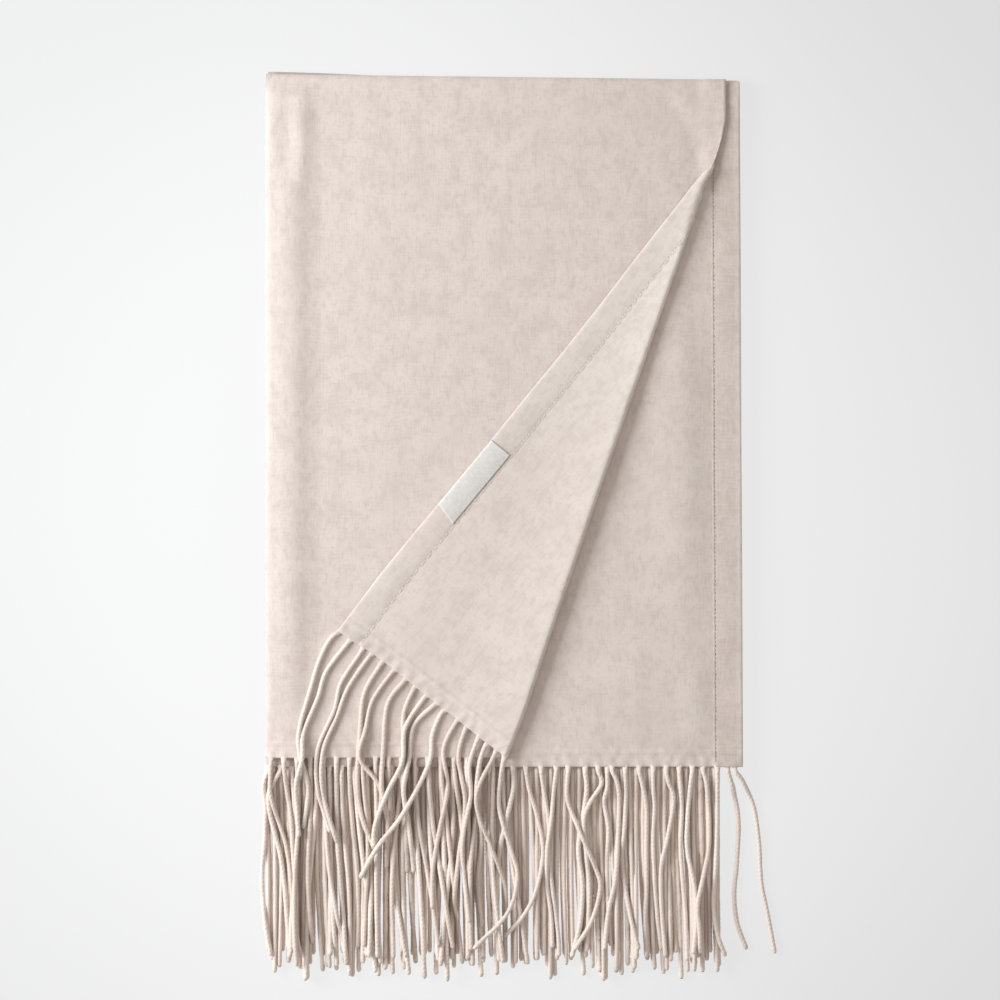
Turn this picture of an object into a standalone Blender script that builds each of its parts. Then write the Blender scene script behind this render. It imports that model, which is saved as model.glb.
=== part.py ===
"""A pashmina shawl, folded flat, with the lower right corner of its top layer turned back.

The cloth is laid out in its own frame: x runs right from the lengthwise fold, y up from the
fringe, z up from the table. An empty at the middle of the underside carries every piece.
Positions on a layer are given as it was cut, u across and v along, before it is folded.
"""

import math
import random
from collections import namedtuple

import bmesh
import bpy
import numpy as np
from mathutils import Vector

# Cloth
CLOTH = 0.0011
HEM_CLOTH = 0.0010
GAP = 0.0003
PITCH = CLOTH + GAP
HIDDEN_LAYERS = 6
NORMAL_STEP = 0.0002
SECOND_LEVEL = HIDDEN_LAYERS * PITCH + CLOTH / 2
FRONT_LEVEL = SECOND_LEVEL + PITCH

# Folded outline
FRONT_WIDTH = 0.338
SECOND_LEFT = 0.003
SECOND_WIDTH = 0.3508
SECOND_TAPER = 0.0024
TOP_LEFT = 0.5060
TOP_SLOPE = 0.0115
INNER_WIDTH = 0.3490
INNER_BOTTOM = 0.0
FRONT_BOTTOM = 0.0070
SECOND_BOTTOM = 0.0

# Crosswise fold at the top: both shown layers bend round one line
WRAP_START = 0.5000
FRONT_WRAP = 0.0046
SECOND_WRAP = FRONT_WRAP - PITCH

# Turned-back corner
FOLD_FOOT = Vector((0.1768, 0.0029, 0.0))
FOLD_LENGTH = 0.4845
FOLD_ANGLE = math.radians(19.47)
FOLD_ALONG = Vector((math.sin(FOLD_ANGLE), math.cos(FOLD_ANGLE), 0.0))
FOLD_ACROSS = Vector((math.cos(FOLD_ANGLE), -math.sin(FOLD_ANGLE), 0.0))
ROLL_LOW = 0.0040
ROLL_HIGH = 0.0009
ROLL_STEPS = 4
FLAP_SETTLE = 0.066
SLOPE_SHARES = (0.22, 0.5, 0.78, 1.0)
FLAP_REACH = 0.150
EDGE_BOW = 0.0034
BOW_LENGTH = 0.440
WAVER_REACH = 0.080

# Hems and label
HEM_WIDTH = 0.0200
HEM_INSET = 0.0003
HEM_TOP = 0.4930
FLAP_HEM_TOP = 0.4050
HEM_END = 0.0050
HEM_RAMP = (0.316, 0.327)
HEM_LIFT = HEM_CLOTH + GAP
LABEL_START = 0.1215
LABEL_LENGTH = 0.0600
LABEL_WIDTH = 0.0195

# Fringe
STRIP_WIDTH = 0.0027
STRIP_OVERHANG = 0.0030
STRAND_PITCH = 0.00955
STRAND_WIDTH = 0.0024
STRAND_CLEARANCE = 0.0007
STRAND_LENGTH = 0.146
SHORTEST = 0.93
LONGEST = 1.08
STRAND_FLOOR = 0.0004
STRAND_STEPS = (0.0, 0.065, 0.20, 0.38, 0.58, 0.79, 1.0)
DROOP = 12.0
SAMPLES = 20
FLAP_STRAND_STEP = 0.0093
FLAP_FIRST = 0.0018
FLAP_SQUARE_RUN = 0.012
CURVE_STEPS = 24

CutRow = namedtuple("CutRow", "cut across rise")
LEFT_ROLL = (
    CutRow(cut=-0.0030, across=0.00055, rise=-0.0016),
    CutRow(cut=-0.0012, across=0.0008, rise=0.0000),
    CutRow(cut=0.0010, across=0.0021, rise=0.0014),
    CutRow(cut=0.0050, across=0.0055, rise=0.0025),
    CutRow(cut=0.0130, across=0.0130, rise=0.0030),
    CutRow(cut=0.0210, across=0.0210, rise=0.0021),
    CutRow(cut=0.0290, across=0.0290, rise=0.0007),
    CutRow(cut=0.0400, across=0.0400, rise=0.0000),
)
ROLL_FADE = 0.020
ROLL_END = WRAP_START + 0.004

WaverRow = namedtuple("WaverRow", "along across")
FOLD_WAVER = (
    WaverRow(along=0.000, across=0.0000),
    WaverRow(along=0.040, across=0.0013),
    WaverRow(along=0.095, across=0.0000),
    WaverRow(along=0.215, across=-0.0016),
    WaverRow(along=0.390, across=-0.0025),
    WaverRow(along=0.425, across=-0.0026),
    WaverRow(along=0.4845, across=0.0000),
)

EdgeRow = namedtuple("EdgeRow", "height left right top bottom")
LAYER_EDGES = (
    EdgeRow(height=0.00000, left=-0.0009, right=-0.0016, top=-0.0006, bottom=-0.0010),
    EdgeRow(height=0.00055, left=-0.0004, right=-0.0008, top=0.0004, bottom=-0.0003),
    EdgeRow(height=0.00125, left=0.0000, right=-0.0020, top=-0.0006, bottom=0.0000),
    EdgeRow(height=0.00195, left=-0.0003, right=-0.0006, top=-0.0001, bottom=-0.0003),
    EdgeRow(height=0.00265, left=-0.0013, right=-0.0022, top=-0.0014, bottom=-0.0014),
    EdgeRow(height=0.00335, left=-0.0005, right=-0.0012, top=-0.0006, bottom=-0.0006),
    EdgeRow(height=0.00405, left=-0.0002, right=-0.0023, top=-0.0015, bottom=-0.0002),
    EdgeRow(height=0.00475, left=-0.0005, right=-0.0005, top=-0.0009, bottom=-0.0006),
    EdgeRow(height=0.00540, left=-0.0013, right=-0.0018, top=-0.0017, bottom=-0.0014),
    EdgeRow(height=0.00550, left=-0.0014, right=-0.0020, top=-0.0034, bottom=-0.0014),
    EdgeRow(height=0.00615, left=-0.0006, right=-0.0010, top=-0.0031, bottom=0.0000),
    EdgeRow(height=0.00685, left=-0.0003, right=-0.0022, top=-0.0038, bottom=-0.0008),
    EdgeRow(height=0.00755, left=-0.0006, right=-0.0009, top=-0.0041, bottom=0.0000),
    EdgeRow(height=0.00810, left=-0.0012, right=-0.0016, top=-0.0056, bottom=-0.0008),
)
SIDE_STEPS = 7
EDGE_WAVE = 0.0004
PEEK = 0.0012
PEEK_END = 0.110
PEEK_LEVEL = 0.0024
CORNER = 0.0010

FringeRow = namedtuple("FringeRow", "name first count level edge stray")
FRINGES = (
    FringeRow("fringe_fourth", 0.0024, 36, SECOND_LEVEL - 2 * PITCH, -0.0030, 0.06),
    FringeRow("fringe_third", 0.0072, 36, SECOND_LEVEL - PITCH, -0.0030, 0.08),
    FringeRow("fringe_second", 0.0000, 37, SECOND_LEVEL, -0.0030, 0.16),
    FringeRow("fringe_front", 0.0048, 18, FRONT_LEVEL, 0.0040, 0.20),
)
# Below these lines a strand has left the strips of the layers under it
SECOND_COVER_END = -0.0045
FRONT_COVER_END = 0.0025
# All rows lean the same way and gather in the same bunches
LEAN_LEFT = 0.003
LEAN_RIGHT = 0.013
OUTER_LEAN = 0.018
OUTER_REACH = 0.015
BUNCH = 0.0032
BUNCH_SPACING = 0.062
BUNCH_TURN = 2.6
STRAND_SWAY = 0.0010
SWAY_TURN = 4.5
STRAY_LEAN = 0.009

# Each strand of the turned-back corner falls from its root through a knee and a middle point
FallRow = namedtuple("FallRow", "knee_x knee_y middle_x middle_y end_x end_y")
FLAP_FALLS = (
    FallRow(0.0389, 0.0536, 0.0262, 0.0022, 0.0257, -0.0477),
    FallRow(0.0462, 0.0521, 0.0323, -0.0088, 0.0389, -0.0785),
    FallRow(0.0536, 0.0536, 0.0396, 0.0081, 0.0565, -0.0859),
    FallRow(0.0602, 0.0499, 0.0448, 0.0059, 0.0440, -0.0638),
    FallRow(0.0719, 0.0462, 0.0675, 0.0022, 0.0793, -0.0609),
    FallRow(0.0800, 0.0462, 0.0726, -0.0015, 0.0932, -0.0565),
    FallRow(0.0917, 0.0404, 0.0859, -0.0088, 0.0844, -0.0785),
    FallRow(0.1027, 0.0301, 0.0998, -0.0015, 0.0800, -0.0506),
    FallRow(0.1108, 0.0242, 0.1035, -0.0110, 0.1101, -0.0807),
    FallRow(0.1167, 0.0183, 0.1093, -0.0198, 0.1211, -0.0932),
    FallRow(0.1233, 0.0132, 0.1049, -0.0294, 0.0690, -0.0903),
    FallRow(0.1328, 0.0081, 0.1314, -0.0308, 0.1211, -0.0837),
    FallRow(0.1438, 0.0022, 0.1490, -0.0345, 0.1284, -0.1049),
    FallRow(0.1512, -0.0037, 0.1431, -0.0506, 0.1409, -0.1240),
    FallRow(0.1585, -0.0088, 0.1578, -0.0638, 0.1607, -0.1218),
    FallRow(0.1607, -0.0161, 0.1563, -0.0418, 0.1783, -0.1020),
    FallRow(0.1702, -0.0198, 0.1666, -0.0638, 0.1534, -0.1365),
)

OATMEAL = (0.72, 0.63, 0.57, 1.0)
CREAM = (0.76, 0.68, 0.62, 1.0)
SHADED = (0.64, 0.55, 0.49, 1.0)
WHITE = (0.90, 0.89, 0.87, 1.0)


def clear_scene():
    for old in list(bpy.data.objects):
        bpy.data.objects.remove(old, do_unlink=True)


def finish(name, colour, roughness):
    """One Principled BSDF material for one piece."""
    material = bpy.data.materials.new(name)
    material.use_nodes = True
    shader = material.node_tree.nodes["Principled BSDF"]
    shader.inputs["Base Color"].default_value = colour
    shader.inputs["Roughness"].default_value = roughness
    shader.inputs["Metallic"].default_value = 0.0
    return material


def add_piece(name, bm, collection, root, colour, roughness=0.9):
    """Turns a bmesh into a named object under the root."""
    mesh = bpy.data.meshes.new(name)
    bm.to_mesh(mesh)
    bm.free()
    mesh.materials.append(finish(name, colour, roughness))
    piece = bpy.data.objects.new(name, mesh)
    piece.parent = root
    collection.objects.link(piece)
    return piece


def ease(value):
    """Smooth step between 0 and 1."""
    value = min(max(value, 0.0), 1.0)
    return value * value * (3.0 - 2.0 * value)


def column(rows, name):
    return [getattr(row, name) for row in rows]


# Where the layers lie


def wrap_line(x):
    """The y at which the layers start to bend over the top."""
    return TOP_LEFT - FRONT_WRAP - CLOTH / 2 - TOP_SLOPE * x


def over_the_top(x, y, radius):
    """Where a layer at (x, y) lies after the crosswise fold: its y, and its drop."""
    start = wrap_line(x)
    if y <= WRAP_START:
        return y + (start - WRAP_START) * (y / WRAP_START) ** 2, 0.0
    angle = (y - WRAP_START) / radius
    return start + radius * math.sin(angle), radius * (1.0 - math.cos(angle))


def fold_waver(along):
    return float(np.interp(along, column(FOLD_WAVER, "along"), column(FOLD_WAVER, "across")))


def roll_radius(along):
    share = min(max(along / FOLD_LENGTH, 0.0), 1.0)
    return ROLL_LOW + (ROLL_HIGH - ROLL_LOW) * share


def fold_axes(u, v):
    """A cut position along the corner's fold and across it."""
    offset = Vector((u, v, 0.0)) - FOLD_FOOT
    return offset.dot(FOLD_ALONG), offset.dot(FOLD_ACROSS)


def turn_back(u, v):
    """Plan position of a point of the front layer, and how high the fold lifts it."""
    along, across = fold_axes(u, v)
    radius = roll_radius(along)
    past = across - fold_waver(along) + radius
    if past <= 0.0:
        return u, v, 0.0
    base = Vector((u, v, 0.0)) - FOLD_ACROSS * past
    if v < BOW_LENGTH:
        past += EDGE_BOW * math.sin(math.pi * v / BOW_LENGTH) * past / FLAP_REACH
    if past < math.pi * radius:
        reach = radius * math.sin(past / radius)
        rise = radius * (1.0 - math.cos(past / radius))
    else:
        back = past - math.pi * radius
        reach = -back
        rise = PITCH + (2.0 * radius - PITCH) * (1.0 - ease(back / FLAP_SETTLE))
    spot = base + FOLD_ACROSS * reach
    return spot.x, spot.y, rise


def front_rise(x, y):
    """How far the flat part of the front layer stands above its level."""
    fade = ease((ROLL_END - y) / ROLL_FADE)
    side = float(np.interp(x, column(LEFT_ROLL, "across"), column(LEFT_ROLL, "rise")))
    low, high = HEM_RAMP
    return side * fade + HEM_LIFT * ease((x - low) / (high - low))


def front_point(u, v):
    """Middle of the front layer's wall."""
    x, y, rise = turn_back(u, v)
    if x < LEFT_ROLL[-1].cut:
        x = float(np.interp(x, column(LEFT_ROLL, "cut"), column(LEFT_ROLL, "across")))
    level = FRONT_LEVEL + front_rise(x, y) + rise
    y, drop = over_the_top(x, y, FRONT_WRAP)
    return Vector((x, y, level - drop))


def second_point(u, v):
    """Middle of the second layer's wall."""
    x = u * (1.0 - SECOND_TAPER / SECOND_WIDTH * v / WRAP_START)
    y, drop = over_the_top(x, v, SECOND_WRAP)
    return Vector((x, y, SECOND_LEVEL - drop))


def flat_point(level):
    """A hidden layer that ends at the fringe."""
    return lambda u, v: Vector((u, v, level))


def moved_out(surface, u, v, distance):
    """A surface point moved along its normal."""
    across = surface(u + NORMAL_STEP, v) - surface(u - NORMAL_STEP, v)
    along = surface(u, v + NORMAL_STEP) - surface(u, v - NORMAL_STEP)
    return surface(u, v) + across.cross(along).normalized() * distance


# Walls of cloth


def spread(start, end, count):
    return [start + (end - start) * index / count for index in range(count + 1)]


def cut_sheet(columns, rows):
    """A flat grid with its lines at the given cut positions."""
    bm = bmesh.new()
    across, along = len(columns) - 1, len(rows) - 1
    bmesh.ops.create_grid(bm, x_segments=across, y_segments=along, size=0.5)
    for vert in bm.verts:
        vert.co.x = columns[round((vert.co.x + 0.5) * across)]
        vert.co.y = rows[round((vert.co.y + 0.5) * along)]
    return bm


def fold_line(low, high):
    """A cut line beside the fold: its foot and its normal, from its offsets at both ends."""
    foot = FOLD_FOOT + FOLD_ACROSS * low
    head = FOLD_FOOT + FOLD_ALONG * FOLD_LENGTH + FOLD_ACROSS * high
    along = (head - foot).normalized()
    return foot, along.cross(Vector((0.0, 0.0, 1.0)))


def score(bm, low, high, keep_outside=False):
    """Cuts an edge line into a sheet beside the fold, or trims the sheet along it."""
    foot, normal = fold_line(low, high)
    geometry = bm.verts[:] + bm.edges[:] + bm.faces[:]
    bmesh.ops.bisect_plane(
        bm, geom=geometry, dist=0.0005, plane_co=foot, plane_no=normal, clear_inner=keep_outside
    )


def roll_offset(share, radius):
    """Offset from the silhouette of the line at this share of the roll's half turn."""
    return radius * (share * math.pi - 1.0)


def score_slope(bm):
    """The edge lines of the slope behind the roll."""
    for share in SLOPE_SHARES:
        back = FLAP_SETTLE * share
        score(bm, roll_offset(1.0, ROLL_LOW) + back, roll_offset(1.0, ROLL_HIGH) + back)


def score_fold(bm):
    """The edge lines that the roll and the slope behind it need."""
    for step in range(ROLL_STEPS + 1):
        share = step / ROLL_STEPS
        score(bm, roll_offset(share, ROLL_LOW), roll_offset(share, ROLL_HIGH))
    score_slope(bm)


def follow_waver(bm):
    """Moves the lines beside the fold sideways with it."""
    for vert in bm.verts:
        along, across = fold_axes(vert.co.x, vert.co.y)
        nearness = 1.0 - ease(abs(across) / WAVER_REACH)
        vert.co += FOLD_ACROSS * fold_waver(along) * nearness


def drape(bm, surface, distance=0.0):
    """Lays a cut sheet on a surface."""
    bmesh.ops.triangulate(bm, faces=bm.faces[:])
    for vert in bm.verts:
        vert.co = moved_out(surface, vert.co.x, vert.co.y, distance)
    bmesh.ops.recalc_face_normals(bm, faces=bm.faces[:])


def thicken(piece, thickness):
    wall = piece.modifiers.new("Wall", "SOLIDIFY")
    wall.thickness = thickness
    wall.offset = 0.0
    wall.use_quality_normals = True


def make_front_layer(collection, root):
    flat = spread(LEFT_ROLL[-1].cut, HEM_RAMP[0], 7)[1:-1]
    columns = column(LEFT_ROLL, "cut") + flat + [*HEM_RAMP, FRONT_WIDTH]
    wrap = FRONT_WRAP * math.pi / 2
    rows = spread(FRONT_BOTTOM, ROLL_END - ROLL_FADE, 10) + spread(WRAP_START, WRAP_START + wrap, 3)
    bm = cut_sheet(columns, rows)
    score_fold(bm)
    follow_waver(bm)
    drape(bm, front_point)
    piece = add_piece("front_layer", bm, collection, root, OATMEAL)
    thicken(piece, CLOTH)


def make_second_layer(collection, root):
    wrap = SECOND_WRAP * math.pi / 2
    columns = spread(SECOND_LEFT, SECOND_WIDTH - HEM_WIDTH, 3) + [SECOND_WIDTH]
    rows = spread(SECOND_BOTTOM, WRAP_START, 4) + spread(WRAP_START, WRAP_START + wrap, 3)[1:]
    bm = cut_sheet(columns, rows)
    drape(bm, second_point)
    piece = add_piece("second_layer", bm, collection, root, OATMEAL)
    thicken(piece, CLOTH)


def make_second_hem(collection, root):
    rows = spread(SECOND_BOTTOM, HEM_TOP, 6)
    bm = cut_sheet([SECOND_WIDTH - HEM_WIDTH, SECOND_WIDTH - HEM_INSET], rows)
    drape(bm, second_point, CLOTH / 2 + GAP + HEM_CLOTH / 2)
    piece = add_piece("second_hem", bm, collection, root, SHADED)
    thicken(piece, HEM_CLOTH)


def make_flap_hem(collection, root):
    """The hem on the turned-back corner, which ends where the roll takes the cloth under."""
    columns = [FRONT_WIDTH - HEM_WIDTH, FRONT_WIDTH - HEM_INSET]
    bm = cut_sheet(columns, spread(FRONT_BOTTOM, FLAP_HEM_TOP, 12))
    end_low = roll_offset(1.0, ROLL_LOW) + HEM_END
    end_high = roll_offset(1.0, ROLL_HIGH) + HEM_END
    score(bm, end_low, end_high, keep_outside=True)
    score_slope(bm)
    drape(bm, front_point, -(CLOTH / 2 + GAP + HEM_CLOTH / 2))
    piece = add_piece("flap_hem", bm, collection, root, CREAM)
    thicken(piece, HEM_CLOTH)


def make_label(collection, root):
    """A small woven label, sewn on the hem of the turned-back corner."""
    columns = [FRONT_WIDTH - 2 * HEM_INSET - LABEL_WIDTH, FRONT_WIDTH - 2 * HEM_INSET]
    bm = cut_sheet(columns, spread(LABEL_START, LABEL_START + LABEL_LENGTH, 2))
    drape(bm, front_point, -(CLOTH / 2 + 2 * GAP + HEM_CLOTH * 1.5))
    piece = add_piece("label", bm, collection, root, WHITE, 0.6)
    thicken(piece, HEM_CLOTH)


# Hidden layers


def grow(bm, face, corners):
    """Extrudes a face and sets its corners, which are in the face's own order."""
    grown = bmesh.ops.extrude_discrete_faces(bm, faces=[face])["faces"][0]
    for vert, corner in zip(grown.verts, corners):
        vert.co = corner
    return grown


def top_edge(x, row):
    """The y of the hidden layers' top edge."""
    return TOP_LEFT - TOP_SLOPE * x + row.top


def layer_outline(row, index):
    """One ring round the hidden layers, at one height."""
    left = -row.left
    right = INNER_WIDTH + row.right
    bottom = INNER_BOTTOM - row.bottom
    shares = spread(0.0, 1.0, SIDE_STEPS)
    ring = []
    for share in shares:
        x = right + EDGE_WAVE * math.sin(9.0 * share + 2.1 * index)
        ring.append((x, bottom + CORNER + (top_edge(x, row) - 2 * CORNER - bottom) * share))
    for share in shares:
        x = right - CORNER + (left - right + 2 * CORNER) * share
        peek = PEEK * ease((PEEK_END - x) / PEEK_END) if row.height < PEEK_LEVEL else 0.0
        ring.append((x, top_edge(x, row) + peek))
    for share in shares[::-1]:
        ring.append((left, bottom + CORNER + (top_edge(left, row) - 2 * CORNER - bottom) * share))
    for share in shares:
        ring.append((left + CORNER + (right - left - 2 * CORNER) * share, bottom))
    ring = [Vector((x, y, row.height)) for x, y in ring]
    return ring


def make_inner_layers(collection, root):
    """Six layers as one rounded solid, with a groove between each two at the edges."""
    rings = [layer_outline(row, index) for index, row in enumerate(LAYER_EDGES)]
    bm = bmesh.new()
    made = bmesh.ops.create_circle(bm, cap_ends=True, radius=0.1, segments=len(rings[0]))
    face = made["verts"][0].link_faces[0]
    for vert, corner in zip(face.verts, rings[0]):
        vert.co = corner
    for ring in rings[1:]:
        face = grow(bm, face, ring)
    bmesh.ops.holes_fill(bm, edges=[edge for edge in bm.edges if edge.is_boundary])
    bmesh.ops.recalc_face_normals(bm, faces=bm.faces[:])
    add_piece("inner_layers", bm, collection, root, SHADED)


# Fringe

Cells = namedtuple("Cells", "stations strands")


class Pile:
    """The tops of the strands laid so far, for the next one to lie on."""

    def __init__(self):
        self.spots = np.empty((0, 3))

    def top(self, x, y):
        away = np.hypot(self.spots[:, 0] - x, self.spots[:, 1] - y)
        under = self.spots[away < STRAND_WIDTH + STRAND_CLEARANCE, 2]
        return under.max() if len(under) else 0.0

    def add(self, spots):
        self.spots = np.vstack([self.spots, spots])


def bare_floor(x, y):
    return 0.0


def over_second(x, y):
    """Top of the second layer and its strip."""
    return SECOND_LEVEL + CLOTH / 2 if y > SECOND_COVER_END else 0.0


def over_front(x, y):
    """Top of the front layer and its strip, then of the second layer."""
    if y > FRONT_COVER_END:
        return FRONT_LEVEL + CLOTH / 2 + max(front_rise(x, y), 0.0)
    return over_second(x, y)


def lie_down(route, root_bottom, pile, cover):
    """Bottom heights along a strand: it droops from its root and rests on what is under it."""
    lengths = [(b - a).length for a, b in zip(route, route[1:])]
    travelled = np.concatenate([[0.0], np.cumsum(lengths)])
    bottoms = [max(root_bottom - DROOP * far * far, STRAND_FLOOR) for far in travelled]
    ends_first = sorted(spread(0.0, 1.0, SAMPLES), key=lambda share: min(share, 1.0 - share))
    for share in ends_first * 2:
        for index, (start, end) in enumerate(zip(route, route[1:])):
            spot = start.lerp(end, share)
            needed = max(pile.top(spot.x, spot.y), cover(spot.x, spot.y)) + GAP
            short = needed - (bottoms[index] * (1.0 - share) + bottoms[index + 1] * share)
            if short <= 0.0:
                continue
            if index:
                spare = (1.0 - share) ** 2 + share ** 2
                bottoms[index] += short * (1.0 - share) / spare
                bottoms[index + 1] += short * share / spare
            elif share > 0.1:
                bottoms[1] += short / share
    return bottoms


def strand_tops(route, bottoms):
    spots = []
    for index, (start, end) in enumerate(zip(route, route[1:])):
        for share in spread(0.0, 1.0, SAMPLES):
            spot = start.lerp(end, share)
            bottom = bottoms[index] * (1.0 - share) + bottoms[index + 1] * share
            spots.append((spot.x, spot.y, bottom + CLOTH))
    return np.array(spots)


def heading(route, index):
    """Unit vector to the strand's left in plan, at one of its points."""
    before = route[max(index - 1, 0)]
    after = route[min(index + 1, len(route) - 1)]
    along = (after - before).normalized()
    return Vector((-along.y, along.x, 0.0))


def grow_strand(bm, face, route, pile, cover):
    """Extrudes a strand from its root face along its route."""
    centre = face.calc_center_median()
    left = heading(route, 0)
    signs = []
    for vert in face.verts:
        offset = vert.co - centre
        signs.append((math.copysign(1.0, offset.dot(left)), math.copysign(1.0, offset.z)))
    root_bottom = min(vert.co.z for vert in face.verts)
    bottoms = lie_down(route, root_bottom, pile, cover)
    lift = Vector((0.0, 0.0, CLOTH / 2))
    for index in range(1, len(route)):
        half = heading(route, index) * STRAND_WIDTH / 2
        middle = route[index].copy()
        middle.z = bottoms[index] + CLOTH / 2
        corners = [middle + half * side + lift * level for side, level in signs]
        face = grow(bm, face, corners)
    pile.add(strand_tops(route, bottoms))


def strip_corner(surface, u, edge, back, top):
    """One of the four corners of a strip's section."""
    v = edge + (STRIP_WIDTH if back else 0.0)
    return moved_out(surface, u, v, CLOTH / 2 if top else -CLOTH / 2)


def grow_strip(bm, surface, stations, edge):
    """A strip of cloth through cut stations, and its front face in each cell."""
    bmesh.ops.create_cube(bm, size=1.0)
    flags = {vert: (vert.co.y > 0, vert.co.z > 0) for vert in bm.verts}
    ends = {vert: vert.co.x > 0 for vert in bm.verts}
    front = next(face for face in bm.faces if all(vert.co.y < 0 for vert in face.verts))
    end = next(face for face in bm.faces if all(vert.co.x > 0 for vert in face.verts))
    for vert, (back, top) in flags.items():
        vert.co = strip_corner(surface, stations[1 if ends[vert] else 0], edge, back, top)
    order = [flags[vert] for vert in end.verts]
    fronts = [front]
    for station in stations[2:]:
        old = {vert for vert, (back, _) in zip(end.verts, order) if not back}
        corners = [strip_corner(surface, station, edge, back, top) for back, top in order]
        end = grow(bm, end, corners)
        new = {vert for vert, (back, _) in zip(end.verts, order) if not back}
        nearby = [face for vert in new for face in vert.link_faces]
        fronts.append(next(face for face in nearby if set(face.verts) == old | new))
    return fronts


def make_fringe(name, surface, cells, edge, routes, pile, cover, collection, root):
    """A narrow strip and its strands as one body. Cells are cut positions from end to end."""
    bm = bmesh.new()
    fronts = grow_strip(bm, surface, cells.stations, edge)
    for cell, route in zip(cells.strands, routes):
        grow_strand(bm, fronts[cell], route, pile, cover)
    bmesh.ops.recalc_face_normals(bm, faces=bm.faces[:])
    add_piece(name, bm, collection, root, OATMEAL)


def strip_cells(start, end, roots, turns=()):
    """Stations of a strip, with a cell as wide as a strand at each root."""
    stations = [start, *turns]
    strands = []
    for root in roots:
        stations += [root - STRAND_WIDTH / 2, root + STRAND_WIDTH / 2]
        strands.append(len(stations) - 2)
    return Cells(stations + [end], strands)


def swaying_route(root, row, chance):
    """A hanging strand's plan: it leans and gathers with its neighbours, and a few stray."""
    share = root.x / SECOND_WIDTH
    lean = LEAN_LEFT + (LEAN_RIGHT - LEAN_LEFT) * share ** 2
    lean += OUTER_LEAN * max(root.x - SECOND_WIDTH + OUTER_REACH, 0.0) / OUTER_REACH
    if chance.random() < row.stray:
        lean += chance.choice((-1, 1)) * chance.uniform(0.4, 1.0) * STRAY_LEAN
    phase = chance.uniform(0.0, math.tau)
    length = STRAND_LENGTH * chance.uniform(SHORTEST, LONGEST)
    route = []
    for step in STRAND_STEPS:
        place = math.tau * root.x / BUNCH_SPACING
        bunch = BUNCH * math.sin(place + BUNCH_TURN * step) * ease(1.6 * step)
        sway = STRAND_SWAY * math.sin(phase + SWAY_TURN * step) * ease(2.0 * step)
        x = root.x + lean * step ** 1.4 + bunch + sway
        route.append(Vector((x, root.y - length * step, 0.0)))
    return route


def through_points(points, steps):
    """Points at the given shares of a smooth curve through the given ones."""
    ends = [points[0] * 2 - points[1], *points, points[-1] * 2 - points[-2]]
    curve = []
    for before, start, end, after in zip(ends, ends[1:], ends[2:], ends[3:]):
        for share in spread(0.0, 1.0, CURVE_STEPS)[:-1]:
            slope = (end - before) * share
            bend = (before * 2.0 - start * 5.0 + end * 4.0 - after) * share ** 2
            twist = (start * 3.0 - before - end * 3.0 + after) * share ** 3
            curve.append((start * 2.0 + slope + bend + twist) * 0.5)
    curve.append(points[-1])
    travelled = np.concatenate([[0.0], np.cumsum([(b - a).length for a, b in zip(curve, curve[1:])])])
    shares = travelled / travelled[-1]
    xs = np.interp(steps, shares, [point.x for point in curve])
    ys = np.interp(steps, shares, [point.y for point in curve])
    return [Vector((float(x), float(y), 0.0)) for x, y in zip(xs, ys)]


def flap_route(root, fall):
    """A strand of the turned-back corner: square off its edge, then down over the front layer."""
    start = Vector((root.x, root.y, 0.0))
    edge = front_point(FRONT_WIDTH, FRONT_BOTTOM) - front_point(FRONT_WIDTH - 0.1, FRONT_BOTTOM)
    square = Vector((-edge.y, edge.x, 0.0)).normalized()
    points = [
        start,
        start + square * FLAP_SQUARE_RUN,
        Vector((fall.knee_x, fall.knee_y, 0.0)),
        Vector((fall.middle_x, fall.middle_y, 0.0)),
        Vector((fall.end_x, fall.end_y, 0.0)),
    ]
    return through_points(points, STRAND_STEPS)


def make_hanging_fringes(pile, collection, root):
    chance = random.Random(7)
    for row in FRINGES:
        roots = [row.first + STRAND_PITCH * index for index in range(row.count)]
        cells = strip_cells(roots[0] - STRIP_OVERHANG, roots[-1] + STRIP_OVERHANG, roots)
        surface = flat_point(row.level)
        cover = over_second if row.edge > 0 else bare_floor
        routes = [swaying_route(Vector((u, row.edge, 0.0)), row, chance) for u in roots]
        make_fringe(row.name, surface, cells, row.edge, routes, pile, cover, collection, root)


def make_flap_fringe(pile, collection, root):
    edge = FRINGES[-1].edge
    start = FOLD_FOOT.x - ROLL_LOW / math.cos(FOLD_ANGLE)
    roll = math.pi * ROLL_LOW / math.cos(FOLD_ANGLE)
    roots = [FRONT_WIDTH - FLAP_FIRST - FLAP_STRAND_STEP * index for index in range(len(FLAP_FALLS))]
    turns = [start + roll * share for share in (0.25, 0.5, 0.75, 1.0)]
    cells = strip_cells(start, FRONT_WIDTH, roots[::-1], turns)
    routes = [flap_route(front_point(u, edge), fall) for u, fall in zip(roots, FLAP_FALLS)][::-1]
    make_fringe("fringe_flap", front_point, cells, edge, routes, pile, over_front, collection, root)


def centre_on(root, pieces):
    """Moves the root so that the middle of the underside is at the origin."""
    bpy.context.view_layer.update()
    graph = bpy.context.evaluated_depsgraph_get()
    corners = []
    for piece in pieces:
        mesh = piece.evaluated_get(graph).to_mesh()
        corners += [vert.co.copy() for vert in mesh.vertices]
        piece.evaluated_get(graph).to_mesh_clear()
    low = Vector([min(corner[axis] for corner in corners) for axis in range(3)])
    high = Vector([max(corner[axis] for corner in corners) for axis in range(3)])
    root.location = (-(low.x + high.x) / 2, -(low.y + high.y) / 2, -low.z)


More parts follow.
